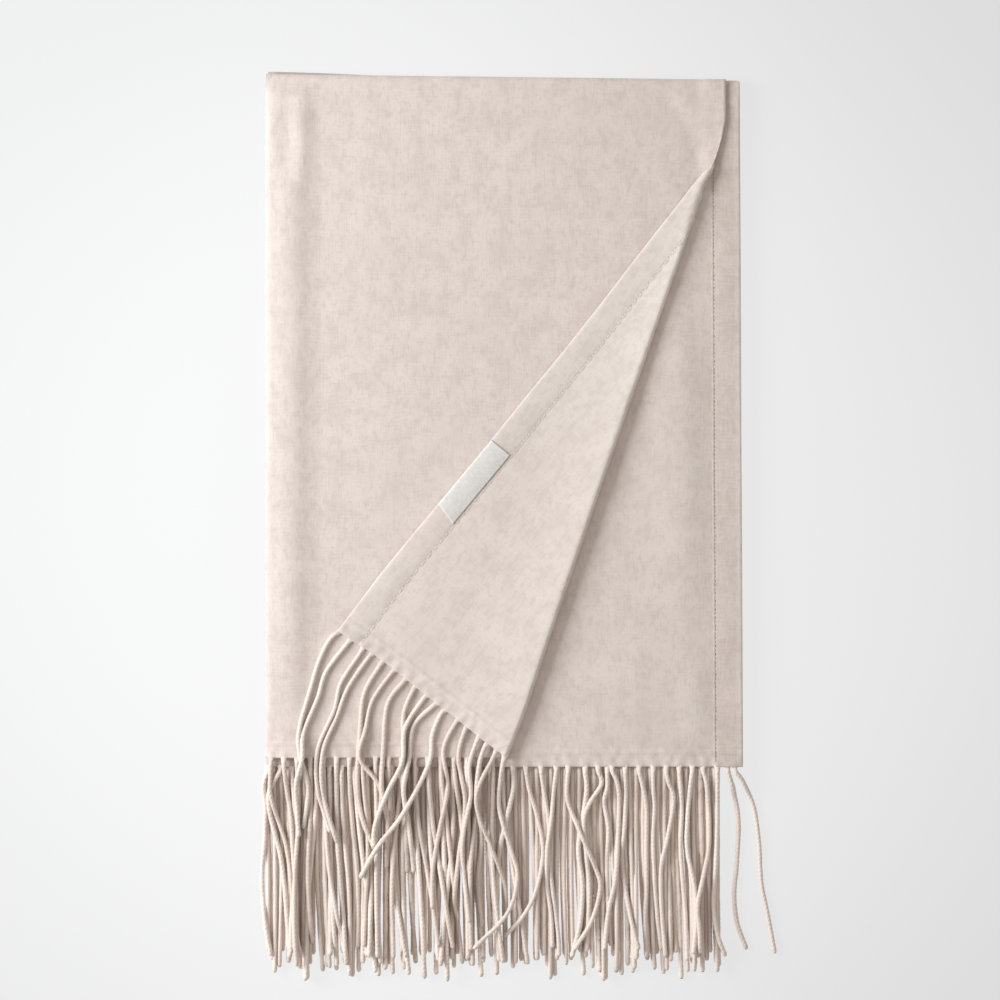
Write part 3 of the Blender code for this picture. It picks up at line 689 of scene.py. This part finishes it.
def stackRing(index, height, left, right, top, bottom):
    left, right, bottom = -left, cloth["innerWidth"] + right, stack["bottom"] - bottom
    soft, shares = stack["corner"], spread(0.0, 1.0, stack["steps"])
    peek = stack["peek"] if height < stack["peekLevel"] else 0.0
    highRight = cloth["topLeft"] - cloth["topSlope"] * right + top
    highLeft = cloth["topLeft"] + top
    ring = []
    for share in shares:
        wave = stack["wave"] * math.sin(9.0 * share + 2.1 * index)
        ring.append((right + wave, bottom + soft + (highRight - 2.0 * soft - bottom) * share))
    for share in shares:
        x = right - soft + (left - right + 2.0 * soft) * share
        rise = peek * ease((stack["peekEnd"] - x) / stack["peekEnd"])
        ring.append((x, highRight + (highLeft - highRight) * share + rise))
    for share in shares[::-1]:
        wave = stack["wave"] * (1.0 + math.sin(7.0 * share + 1.7 * index))
        ring.append((left + wave, bottom + soft + (highLeft - 2.0 * soft - bottom) * share))
    for share in shares:
        ring.append((left + soft + (right - left - 2.0 * soft) * share, bottom))
    return [Vector((x, y, height)) for x, y in ring]


def makeInnerLayers(material):
    rings = [stackRing(index, *row) for index, row in enumerate(inMetres(stack["rows"]))]
    bm = bmesh.new()
    made = bmesh.ops.create_circle(bm, cap_ends=True, radius=0.1, segments=len(rings[0]))
    face = made["verts"][0].link_faces[0]
    for vert, place in zip(face.verts, rings[0]):
        vert.co = place
    for ring in rings[1:]:
        face = bmesh.ops.extrude_discrete_faces(bm, faces=[face])["faces"][0]
        for vert, place in zip(face.verts, ring):
            vert.co = place
    bmesh.ops.holes_fill(bm, edges=[edge for edge in bm.edges if edge.is_boundary])
    bmesh.ops.recalc_face_normals(bm, faces=bm.faces[:])
    mapCut(bm, lambda place: (place.x + place.z, place.y + place.z))
    return asPiece("innerLayers", bm, material, "inner_layers")


hem = {
    "wall": 0.0008,
    "section": (  # millimetres: inset from the cloth's edge, lift over the cloth's middle
        (20, 0.14), (19.7, 0.25), (19.2, 0.34), (18.8, 0.35), (18.5, 0.23), (18.2, 0.33),
        (17.6, 0.45), (16.4, 0.65), (14.5, 0.92), (11, 1.24), (7, 1.42), (4, 1.46), (2.6, 1.44),
        (1.35, 1.36), (0.88, 1.2), (0.55, 0.9), (0.45, 0.52), (0.53, 0.16),
    ),
    "stitchInset": 0.0185,
    "pucker": 0.00012, "puckerLength": 0.0072, "puckerReach": 0.0045,
    "wideAt": 0.018,  # where a wider hem has its whole extra width
    "flapRows": (0.46, 330),  # up to this cut height, in so many steps
    "secondRows": (0.49, 400, 16),  # and steps over the top bend
    "tuck": 0.002, "tucked": (0.433, 0.012),
    "flapOver": 0.3,  # where on the roll it ends
    "flapShift": -0.004,  # and how far the fold wavers there
    "topPress": 0.55,  # the front layer presses it down over the top edge
    "press": (0.486, 0.012),  # from this cut height, over this length
}
flapEdge = {  # an edge with a hem: its stitch line's ends are cut heights
    "surface": frontPoint, "width": frontWidth, "side": -1, "node": "flap_hem",
    "onFlap": True, "wider": 0.0, "stitched": (0.008, 0.425),
}
secondEdge = {
    "surface": secondPoint, "width": secondWidth, "side": 1, "node": "second_hem",
    "onFlap": False, "wider": 0.0016, "stitched": (0.002, 0.495),
}
hemSection = inMetres(hem["section"])


def hemTravel():  # the hem's section laid out flat: distance from its inner edge, inset, lift
    rows = [(0.0, *hemSection[0])]
    for inset, lift in hemSection[1:]:
        travelled, before, below = rows[-1]
        rows.append((travelled + math.hypot(inset - before, lift - below), inset, lift))
    return rows


def puckered(v, inset):  # small gathers beside the stitch line
    near = math.exp(-((inset - hem["stitchInset"]) / hem["puckerReach"]) ** 2)
    gather = math.sin(math.tau * v / hem["puckerLength"] + 2.2 * math.sin(v * 61.0))
    return hem["pucker"] * near * gather * (0.7 + 0.3 * math.sin(v * 23.0))


def hemPress(v):
    return 1.0 - hem["topPress"] * rising(v, *hem["press"])


def hemTucked(v):  # 1 where the corner's hem has gone under the cloth
    return rising(v, *hem["tucked"])


def widened(inset, wider):
    return inset + wider * ease(inset / hem["wideAt"])


def makeHem(name, edge, rows, material):
    travel, width = hemTravel(), edge["width"]
    insets = [(place, inset) for place, inset, lift in travel]
    lifts = [(place, lift) for place, inset, lift in travel]
    start = width - hemSection[0][0]
    bm = cutSheet([start + place for place, inset, lift in travel], rows)
    if edge["onFlap"]:
        for share in spread(hem["flapOver"], 1.0, 6):
            score(bm, share, hem["flapShift"], keepOutside=share == hem["flapOver"])

    def place(u, v):
        inset = reading(insets, u - start)
        lift = reading(lifts, u - start) + puckered(v, inset)
        lift *= edge["side"] * hemPress(v)
        inset = widened(inset, edge["wider"])
        if edge["onFlap"]:
            inset += hem["tuck"] * hemTucked(v)
        return movedOut(edge["surface"], width - inset, v, lift)

    return makeSheet(name, bm, material, edge["node"], place, hem["wall"])


def wrappedGrid(bm, sides, rings, place):  # a grid rolled round, its seam and ends closed later
    cutMap = bm.loops.layers.uv.verify()
    made = bmesh.ops.create_grid(bm, x_segments=sides, y_segments=rings - 1, size=0.5)
    spots = {}
    for vert in made["verts"]:
        side = round((vert.co.x + 0.5) * sides)
        ring = round((vert.co.y + 0.5) * (rings - 1))
        spots[vert] = place(side % sides, side, ring)
    for face in {face for vert in made["verts"] for face in vert.link_faces}:
        for loop in face.loops:
            loop[cutMap].uv = spots[loop.vert][1]
    for vert, (spot, flat) in spots.items():
        vert.co = spot
    return made["verts"]


def closeTubes(bm):
    bmesh.ops.remove_doubles(bm, verts=bm.verts[:], dist=0.000002)
    bmesh.ops.holes_fill(bm, edges=[edge for edge in bm.edges if edge.is_boundary])
    bmesh.ops.recalc_face_normals(bm, faces=bm.faces[:])


stitch = {
    "length": 0.0026, "step": 0.003, "radius": 0.0003, "sides": 6, "rings": 5, "arch": 0.00012,
    "sink": 0.0001, "astray": 0.00012, "lean": 0.0001, "shownFrom": 0.7,  # share of the roll
}


def makeStitches(name, edge, material):
    bm = bmesh.new()
    chance = random.Random(11)
    under = reading(hemSection[::-1], hem["stitchInset"]) + hem["wall"] / 2
    width, astray, slant = edge["width"], stitch["astray"], stitch["lean"]
    for v in np.arange(*edge["stitched"], stitch["step"]):
        inset = widened(hem["stitchInset"], edge["wider"]) + chance.uniform(-astray, astray)
        past, size = pastFold(*drawnIn(width - inset, v))
        if edge["onFlap"] and past < stitch["shownFrom"] * size[-1]:
            continue
        lean = chance.uniform(-slant, slant)

        def place(spoke, column, ring):
            along = ring / (stitch["rings"] - 1) * 2.0 - 1.0
            arch = math.sqrt(max(1.0 - along * along, 0.0))
            turn = math.tau * spoke / stitch["sides"]
            radius = stitch["radius"] * (0.45 + 0.55 * arch)
            lift = under - stitch["sink"] + stitch["arch"] * arch + radius * math.sin(turn)
            inward = inset + lean * along + radius * math.cos(turn)
            ahead = v + along * stitch["length"] / 2
            lift = edge["side"] * (lift * hemPress(v))
            return movedOut(edge["surface"], width - inward, ahead, lift), (column * 0.0003, ahead)

        wrappedGrid(bm, stitch["sides"], stitch["rings"], place)
    closeTubes(bm)
    return asPiece(name, bm, material, edge["node"], stands=False)


label = {
    "start": 0.1115, "length": 0.0665, "width": 0.0172, "wall": 0.0005,
    "slant": 0.0052,  # its lower end lies askew
    "inset": 0.0006, "foldedEnd": 0.0032, "columns": 22, "rows": 60,
    "clear": 0.00008, "foldHigh": 0.0003, "foldEdge": 0.0006,
    "held": 0.00022, "heldAt": 0.0016, "heldWide": 0.0005,  # where each end is sewn down
    "belly": 0.00022, "bellyEdge": 0.006, "bellyTurn": 260.0,
}


def labelLift(across, along):  # ends folded under, edges held down by the sewing
    ends = min(along, label["length"] - along)
    sides = min(across, label["width"] - across)
    lift = label["foldHigh"] * ease(1.0 - ends / label["foldedEnd"])
    lift *= ease(ends / label["foldEdge"])
    held = label["held"] * math.exp(-((ends - label["heldAt"]) / label["heldWide"]) ** 2)
    wave = 1.0 + 0.5 * math.sin(along * label["bellyTurn"])
    return lift - held + label["belly"] * ease(sides / label["bellyEdge"]) * wave


def makeLabel(material):
    right = frontWidth - label["inset"]
    left = right - label["width"]
    rows = spread(label["start"], label["start"] + label["length"], label["rows"])
    bm = cutSheet(spread(left, right, label["columns"]), rows)

    def place(u, v):
        lift = reading(hemSection[::-1], min(frontWidth - u, label["width"]))
        lift += hem["wall"] / 2
        lift += label["wall"] / 2 + label["clear"] + labelLift(u - left, v - label["start"])
        share = (v - label["start"]) / label["length"]
        askew = label["slant"] * (u - left) / label["width"] * (1.0 - share)
        return movedOut(frontPoint, u, v + askew, -lift)

    return makeSheet("wovenLabel", bm, material, "label", place, label["wall"])


strand = {
    "radius": 0.00188,
    "press": 0.00162,  # how near two strands lie
    "lowest": 0.00215,  # middle of a strand that lies on the table
    "ring": 0.00112,
    "twist": 0.0098,  # one full turn of the three plies
    "groove": 0.13,
    "flare": 0.006,  # how soon the flat root is a round cord
    "flat": (0.0022, 0.00045),  # half the flat root's width and height
    "rootIn": 0.0015,
    "fall": 46.0, "length": 0.146, "lengths": (0.93, 1.08), "sides": 12, "hiddenSides": 8,
    "flapSink": 0.0004,  # keeps the flat roots inside the sloping cloth
    "rootOut": 0.003,
    "free": 0.006,  # past its root by this much, it lies on what is under it
    "leave": 0.005, "rounds": 14, "sizes": (0.92, 1.06), "twists": (0.9, 1.1),
    "tip": (0.6, 0.4, 0.0022),  # its least size, what is added, and how soon
    "knob": (0.06, 0.0025, 0.003), "uneven": (0.05, 310.0, 97.0),
}
sway = {
    "leanLeft": 0.003, "leanRight": 0.013, "outerLean": 0.018, "outerReach": 0.015,
    "bunch": 0.0032, "bunchSpacing": 0.062, "bunchTurn": 2.6, "swing": 0.001,
    "swingTurn": 4.5, "stray": 0.011, "steps": (0.065, 0.2, 0.38, 0.58, 0.79, 1.0),
}
# Ways of the strands, x and y by turns in millimetres. First those of the turned-back corner,
# from its point to the fold.
flapWays = (
    (48, 91, 40, 75, 34, 55, 26, 26, 26, 7, 32, -18, 28, -48),
    (59, 86, 45, 67, 39, 48, 29, 23, 28, 4, 23, -18, 25, -54),
    (70, 81, 56, 59, 51, 39, 39, 10, 39, -20, 48, -51),
    (75, 76, 61, 55, 53, 34, 43, 9, 43, -23, 53, -58),
    (84, 71, 73, 51, 70, 23, 68, -12, 71, -39, 81, -63),
    (92, 65, 79, 46, 74, 25, 70, 4, 85, -19, 81, -54),
    (101, 59, 90, 43, 87, 11, 86, -17, 90, -43, 89, -77),
    (109, 54, 102, 36, 102, 11, 101, -9, 103, -36, 104, -81),
    (116, 47, 103, 26, 101, 2, 90, -21, 81, -45, 80, -61),
    (122, 41, 109, 27, 106, 4, 102, -20, 106, -49, 109, -81),
    (129, 36, 123, 21, 120, -1, 101, -37, 82, -62, 70, -84),
    (140, 30, 131, 10, 134, -18, 128, -49, 123, -79, 123, -106),
    (147, 25, 142, 4, 147, -29, 142, -70, 139, -101, 142, -115),
    (156, 18, 150, -1, 151, -23, 146, -49, 145, -70, 150, -115),
    (161, 12, 157, -2, 155, -27, 159, -53, 156, -86, 159, -120),
    (167, 4, 156, -19, 157, -38, 169, -69, 176, -91, 177, -112),
    (173, -9, 172, -34, 181, -65, 185, -84, 178, -109, 153, -135),
)
# The second layer's, right of the fold
rightWays = (
    (182, -20, 176, -46, 172, -65, 170, -89, 170, -114, 172, -145),
    (194, -20, 199, -37, 204, -64, 199, -93, 190, -111, 175, -128),
    (204, -16, 208, -43, 208, -66, 211, -93, 215, -125, 216, -142),
    (212, -20, 210, -42, 207, -64, 207, -90, 210, -112, 211, -136),
    (222, -27, 230, -48, 242, -76, 246, -92, 240, -115, 227, -137),
    (236, -20, 233, -43, 230, -64, 233, -90, 231, -119, 225, -143),
    (247, -15, 238, -30, 234, -43, 236, -70, 238, -95, 236, -139),
    (251, -18, 249, -29, 252, -49, 251, -75, 252, -108, 254, -135),
    (258, -13, 260, -27, 259, -57, 257, -85, 252, -110, 249, -137),
    (265, -23, 264, -47, 262, -70, 265, -95, 269, -117, 274, -136),
    (277, -16, 280, -33, 280, -64, 280, -93, 279, -115, 280, -143),
    (285, -20, 286, -33, 285, -55, 286, -86, 288, -112, 291, -138),
    (296, -14, 300, -27, 296, -53, 291, -76, 291, -104, 294, -143),
    (305, -18, 306, -36, 305, -62, 307, -90, 309, -115, 310, -146),
    (312, -18, 310, -45, 310, -65, 315, -92, 316, -115, 314, -139),
    (324, -16, 326, -42, 325, -68, 317, -101, 318, -119, 319, -139),
    (332, -20, 332, -42, 331, -73, 329, -104, 332, -126, 338, -142),
    (344, -20, 348, -42, 347, -73, 345, -97, 347, -118, 354, -138),
    (351, -14, 359, -32, 363, -57, 365, -89, 369, -109, 375, -141),
)
leftWays = {  # the outermost at the lengthwise fold, by row and number
    ("second", 0): (-1, -16, 0, -34, -1, -60, -3, -87, -1, -112, 4, -142),
    ("second", 1): (3, -21, 4, -40, 11, -68, 14, -90, 16, -115, 18, -139),
    ("front", 0): (4, -20, 8, -38, 15, -60, 19, -86, 21, -112, 22, -137),
    ("front", 1): (16, -20, 19, -42, 21, -71, 23, -97, 23, -119, 26, -141),
}


def swayingWay(x, y, length, phase, stray):
    share = min(max(x / secondWidth, 0.0), 1.0)
    lean = sway["leanLeft"] + (sway["leanRight"] - sway["leanLeft"]) * share ** 2
    outer = (x - secondWidth) / sway["outerReach"] + 1.0
    lean += sway["outerLean"] * ease(outer) + stray
    way = []
    for step in sway["steps"]:
        turn = math.tau * x / sway["bunchSpacing"] + sway["bunchTurn"] * step
        bunch = sway["bunch"] * math.sin(turn)
        swing = sway["swing"] * math.sin(phase + sway["swingTurn"] * step)
        aside = lean * step ** 1.4 + bunch * ease(1.6 * step) + swing * ease(2.0 * step)
        way.append((x + aside, y - length * step))
    return way


def wayOf(row):
    row = inMetres(row)
    return list(zip(row[::2], row[1::2]))


def evenly(points, spacing):  # evenly spaced points on a smooth curve through the given ones
    points = [np.array(point) for point in points]
    ends = [2 * points[0] - points[1], *points, 2 * points[-1] - points[-2]]
    curve = []
    for before, start, end, after in zip(ends, ends[1:], ends[2:], ends[3:]):
        share = np.linspace(0.0, 1.0, 24, endpoint=False)[:, None]
        curve.append(0.5 * (
            2 * start + (end - before) * share
            + (2 * before - 5 * start + 4 * end - after) * share ** 2
            + (3 * start - before - 3 * end + after) * share ** 3
        ))
    curve = np.vstack([*curve, points[-1][None, :]])
    travelled = np.concatenate([[0.0], np.cumsum(np.hypot(*np.diff(curve, axis=0).T))])
    count = max(round(travelled[-1] / spacing), 8)
    places = np.linspace(0.0, travelled[-1], count + 1)
    line = np.stack([np.interp(places, travelled, curve[:, axis]) for axis in (0, 1)], axis=1)
    return line, places


net = {"cell": 0.0006, "left": -0.03, "low": -0.19, "columns": 760, "rows": 520, "margin": 4}


class Bed:  # how high the things under the next strand are, on a fine square net
    def __init__(self):
        self.cell = net["cell"]
        self.x = net["left"] + self.cell * np.arange(net["columns"])
        self.y = net["low"] + self.cell * np.arange(net["rows"])
        self.heights = np.zeros((len(self.x), len(self.y)))
        reach = int(strand["press"] / self.cell) + 1
        around = np.arange(-reach, reach + 1)
        away = np.hypot(*np.meshgrid(around, around, indexing="ij")) * self.cell
        inside = away < strand["press"]
        self.steps = np.argwhere(inside) - reach
        self.lift = np.sqrt(strand["press"] ** 2 - away[inside] ** 2)

    def cover(self, surface, low, left, right, high):  # with cloth
        xs, ys = np.linspace(left, right, 90), np.linspace(low, high, 40)
        tops = np.array([[surface(x, y).z + thick / 2 for y in ys] for x in xs])
        tops = np.array([np.interp(self.x, xs, column, 0.0, 0.0) for column in tops.T]).T
        tops = np.array([np.interp(self.y, ys, row, 0.0, 0.0) for row in tops])
        self.heights = np.maximum(self.heights, tops)

    def near(self, line):
        spots = np.round((line - np.array([self.x[0], self.y[0]])) / self.cell).astype(int)
        spots = np.clip(spots, net["margin"], np.array(self.heights.shape) - net["margin"] - 1)
        cells = spots[:, None, :] + self.steps[None, :, :]
        return cells[..., 0], cells[..., 1]

    def carried(self, line):  # lowest middle of a strand that lies on what is here
        under = self.heights[self.near(line)] + self.lift[None, :]
        return np.maximum(under.max(axis=1), strand["lowest"])

    def lay(self, line, middle):
        columns, rows = self.near(line)
        tops = middle[:, None] + self.lift[None, :]
        np.maximum.at(self.heights, (columns.ravel(), rows.ravel()), tops.ravel())


def settled(line, places, rootHeight, bed):  # a strand droops from its root onto what is under it
    free = places > strand["free"]
    needed = np.where(free, bed.carried(line), rootHeight)
    apart = places[:, None] - places[None, :]
    middle = (needed[None, :] - strand["fall"] / 2 * apart ** 2).max(axis=1)
    for _ in range(strand["rounds"]):
        middle[1:-1] = (middle[:-2] + 2.0 * middle[1:-1] + middle[2:]) / 4.0
        middle = np.maximum(middle, needed)
    middle = rootHeight + (middle - rootHeight) * np.clip(places / strand["leave"], 0.0, 1.0)
    bed.lay(line[free], middle[free])
    return middle


def plyRadius(angle):  # a section of three soft plies
    return strand["radius"] * (1.0 - strand["groove"] * (1.0 - abs(math.cos(1.5 * angle))))


def makeStrand(bm, line, places, middle, sides, chance):
    floats = bm.verts.layers.float
    toneLayer = floats.get("tone") or floats.new("tone")
    spots = np.column_stack([line, middle])
    ahead = np.gradient(spots, axis=0)
    ahead /= np.linalg.norm(ahead, axis=1)[:, None]
    aside = np.column_stack([-ahead[:, 1], ahead[:, 0], np.zeros(len(line))])
    aside /= np.linalg.norm(aside, axis=1)[:, None]
    up = np.cross(ahead, aside)
    turn, tone = chance.uniform(0.0, math.tau), chance.random()
    twist = math.tau / strand["twist"] * chance.uniform(*strand["twists"])
    left = places[-1] - places
    least, more, reach = strand["tip"]
    size = chance.uniform(*strand["sizes"])
    size = size * (least + more * np.clip(left / reach, 0.0, 1.0) ** 0.5)
    knob, knobAt, reach = strand["knob"]
    size *= 1.0 + knob * np.exp(-((left - knobAt) / reach) ** 2)
    uneven, fine, broad = strand["uneven"]
    size *= 1.0 + uneven * np.sin(places * fine + turn) * np.sin(places * broad + 2.0 * turn)
    angles = spread(0.0, math.tau, sides)[:-1]
    radii = [plyRadius(angle) for angle in angles]

    def place(side, column, ring):
        spin = angles[side] + turn + twist * places[ring]
        share = ease(places[ring] / strand["flare"])
        wide, high = (
            flat + (radii[side] * size[ring] - flat) * share for flat in strand["flat"]
        )
        spot = spots[ring] + aside[ring] * wide * math.cos(spin) + up[ring] * high * math.sin(spin)
        around = column / len(angles) * math.tau * strand["radius"]
        return Vector(spot), (around + 3.0 * tone, places[ring] + 7.0 * tone)

    for vert in wrappedGrid(bm, len(angles), len(line), place):
        vert[toneLayer] = tone


def fringePiece(name, strands, bed, material, node, seed, sides=strand["sides"]):
    bm = bmesh.new()
    chance = random.Random(seed)
    for points, rootHeight in strands:
        line, places = evenly(points, strand["ring"])
        middle = settled(line, places, rootHeight, bed)
        makeStrand(bm, line, places, middle, sides, chance)
    closeTubes(bm)
    return asPiece(name, bm, material, node)


def rowStrands(name, edge, surface, chance):  # a straight row under the cloth's lower edge
    strands = []
    for index, root in enumerate(rowRoots(name)):
        length = strand["length"] * chance.uniform(*strand["lengths"])
        astray = chance.random() < fringeRows[name][3]
        stray = chance.choice((-1.0, 1.0)) * sway["stray"] if astray else 0.0
        way = swayingWay(root, edge, length, chance.uniform(0.0, math.tau), stray)
        if (name, index) in leftWays:
            way = wayOf(leftWays[name, index])
        strands.append(rooted(root, edge, way, surface(root, edge).z))
    return strands


def rooted(root, edge, way, level):  # a strand's points, and its root's height
    return [(root, edge + strand["rootIn"]), (root, edge - strand["rootOut"]), *way], level


def hiddenStrands(offset, level, chance):  # an even row, straighter than those above
    strands = []
    edge = secondBottom
    for index in range(hiddenRow["count"]):
        root = hiddenRow["first"] + hiddenRow["step"] * index + offset
        length = strand["length"] * chance.uniform(*strand["lengths"])
        calm = chance.uniform(*hiddenRow["calm"])
        lean = chance.uniform(-hiddenRow["lean"], hiddenRow["lean"])
        way = swayingWay(root, edge, length, chance.uniform(0.0, math.tau), lean)
        way = [(root + (x - root) * calm, y) for x, y in way]
        strands.append(rooted(root, edge, way, level))
    return strands


laidLast = {"right": (1, 4), "flap": (10, 16)}  # strands that lie on all their neighbours


def lastOnTop(name, strands):
    last = laidLast[name]
    low = [item for index, item in enumerate(strands) if index not in last]
    return low + [strands[number] for number in last]


covered = {  # cloth that strands lie on, from its lower edge: left, right and upper end
    "second": (0.003, 0.35, 0.1), "front": (0.004, 0.168, 0.12),
}


def makeFringes(material, lowerMaterial, hiddenMaterial):
    chance, bed, few = random.Random(7), Bed(), strand["hiddenSides"]
    fourth = hiddenStrands(hiddenRow["between"], secondLevel - 2.0 * pitch, chance)
    third = hiddenStrands(0.0, secondLevel - pitch, chance)
    fringePiece("fringeFourth", fourth, bed, hiddenMaterial, "fringe_fourth", 1, few)
    fringePiece("fringeThird", third, bed, hiddenMaterial, "fringe_third", 2, few)
    edge = secondBottom
    right = [
        rooted(root, edge, wayOf(way), secondPoint(root, edge).z)
        for root, way in zip(rightRoots, rightWays)
    ]
    strands = rowStrands("second", edge, secondPoint, chance) + lastOnTop("right", right)
    second = fringePiece("fringeSecond", strands, bed, lowerMaterial, "fringe_second", 3)
    bed.cover(secondPoint, edge, *covered["second"])
    edge = frontBottom
    strands = rowStrands("front", edge, frontPoint, chance)
    front = fringePiece("fringeFront", strands, bed, material, "fringe_front", 4)
    bed.cover(frontPoint, edge, *covered["front"])
    strands = []
    for root, way in zip(flapRoots, flapWays):
        start = frontPoint(root, edge + strand["rootIn"])
        strands.append(([start.xy[:], *wayOf(way)], start.z - strand["flapSink"]))
    strands = lastOnTop("flap", strands)
    return second, front, fringePiece("fringeFlap", strands, bed, material, "fringe_flap", 5)


# painted light: the turned-back corner's side is lightened for its slope towards the lamp
backWool = brushedWool("brushedWoolBack", lighter=0.18, paintedCornerLight=0.65)
frontCloth = makeFrontLayer(brushedWool("brushedWool"), backWool)
# painted light: the second layer is lightened a little overall, and painted shade darkens its lower
# edge
secondCloth = makeSecondLayer(brushedWool("brushedWoolUnder", lighter=0.16, footShade=0.4))
# painted shade: the hidden layers, seen only at their edges, are darkened
makeInnerLayers(brushedWool("brushedWoolHidden", darker=0.3))
# painted light: the flap's hem is lightened like the turned-back corner it lies on
flapHemWool = brushedWool("flapHemWool", lighter=0.26, paintedCornerLight=0.3)
# painted shade: the second layer's hem is darkened, with a painted highlight along its outer edge
hemWool = brushedWool("hemWool", darker=0.22, edge=0.6)
flapHem = makeHem("flapHem", flapEdge, spread(frontBottom, *hem["flapRows"]), flapHemWool)
bend, rows, bendRows = hem["secondRows"]
rows = spread(secondBottom, bend, rows)
rows += spread(bend, wrapStart + secondWrap * math.pi / 2, bendRows)[1:]
secondHem = makeHem("secondHem", secondEdge, rows, hemWool)
flapStitches = makeStitches("flapStitches", flapEdge, sewingThread("sewingThread", sewing["pale"]))
shadeDarkThread = sewingThread("shadeDarkThread", sewing["dark"])
secondStitches = makeStitches("secondStitches", secondEdge, shadeDarkThread)
ribbon = makeLabel(ribbonSatin("ribbonSatin"))
# painted light: the second row's and the hidden rows' cords are lighter than the top rows', against
# the shade they lie in
fringeSecond, fringeFront, fringeFlap = makeFringes(
    twistedWool("twistedWool", 0.08), twistedWool("twistedWoolUnder", 0.54),
    twistedWool("twistedWoolHidden", 0.3),
)

studio = {
    "width": 0.7338,  # metres of table across the view
    "middle": (0.1724, 0.193), "lens": 85.0, "film": 36.0, "farthest": 20.0,
    "nearer": 0.01,  # the shawl's own height brings it closer to the lens
    "tableSize": 3.0,
    # the table's glow is painted light: it fills the shadows on the table, brighter on the lamp's
    # side and dimmer away from the middle
    "table": (0.08, 0.08, 0.081, 1.0),
    "tableGlow": 0.832,  # keeps the shadows on the table faint
    "tableNear": (1.0, 1.0, 1.0, 1.0),
    "tableFar": (0.88, 0.88, 0.882, 1.0),
    "tableFade": (-0.26, 0.34),  # from the lamp's side across
    "tableEdge": (0.22, 0.56),  # it dims a little this far from the middle
    "tableDim": 0.12,
    "sky": 0.52,
    "skyColour": (1.0, 0.962, 0.925, 1.0),  # a warm fill beside a cooler lamp
    "key": 23.2,
    "keyColour": (1.0, 1.045, 1.085),
    "keyPlace": (-1.25, 0.3, 0.8),
    "keySize": 0.8,
}


def makeStudio():
    bm = bmesh.new()
    bmesh.ops.create_grid(bm, x_segments=1, y_segments=1, size=studio["tableSize"])
    mesh = bpy.data.meshes.new("table")
    bm.to_mesh(mesh)
    bm.free()
    table = placed("table", mesh)
    finish = Finish("tableTop")
    place = finish.add("ShaderNodeTexCoord", output=3)
    across = finish.both(place)[0]
    fade = finish.between(across, *studio["tableFade"])
    glow = finish.blend(fade, studio["tableNear"], studio["tableFar"])
    away = finish.add("ShaderNodeVectorMath", {"operation": "LENGTH"}, {0: place}, 1)
    dim = finish.between(away, *studio["tableEdge"]) * studio["tableDim"]
    glow = finish.blend(dim, glow, (0.0, 0.0, 0.0, 1.0))
    shader = finish.add("ShaderNodeBsdfPrincipled", values={
        "Base Color": studio["table"], "Roughness": 0.9, "Emission Color": glow,
        "Emission Strength": studio["tableGlow"],
    })
    finish.add("ShaderNodeOutputMaterial", values={"Surface": shader})
    mesh.materials.append(finish.material)

    view = bpy.data.cameras.new("camera")
    view.lens = studio["lens"]
    view.clip_end = studio["farthest"]
    camera = placed("camera", view)
    high = studio["width"] * studio["lens"] / studio["film"] + studio["nearer"]
    camera.location = Vector((*studio["middle"], 0.0)) + toTable + Vector((0.0, 0.0, high))
    bpy.context.scene.camera = camera

    lamp = bpy.data.lights.new("key", "AREA")
    lamp.shape = "SQUARE"
    lamp.size = studio["keySize"]
    lamp.energy = studio["key"]
    lamp.color = studio["keyColour"]
    key = placed("key", lamp)
    key.location = Vector(studio["keyPlace"])
    key.rotation_euler = (-key.location).to_track_quat("-Z", "Y").to_euler()

    sky = bpy.data.worlds.new("sky")
    sky.use_nodes = True
    glowing = sky.node_tree.nodes["Background"].inputs
    glowing["Strength"].default_value = studio["sky"]
    glowing["Color"].default_value = studio["skyColour"]
    bpy.context.scene.world = sky
    bpy.context.scene.view_settings.view_transform = "Standard"
    print("studio ready")


makeStudio()
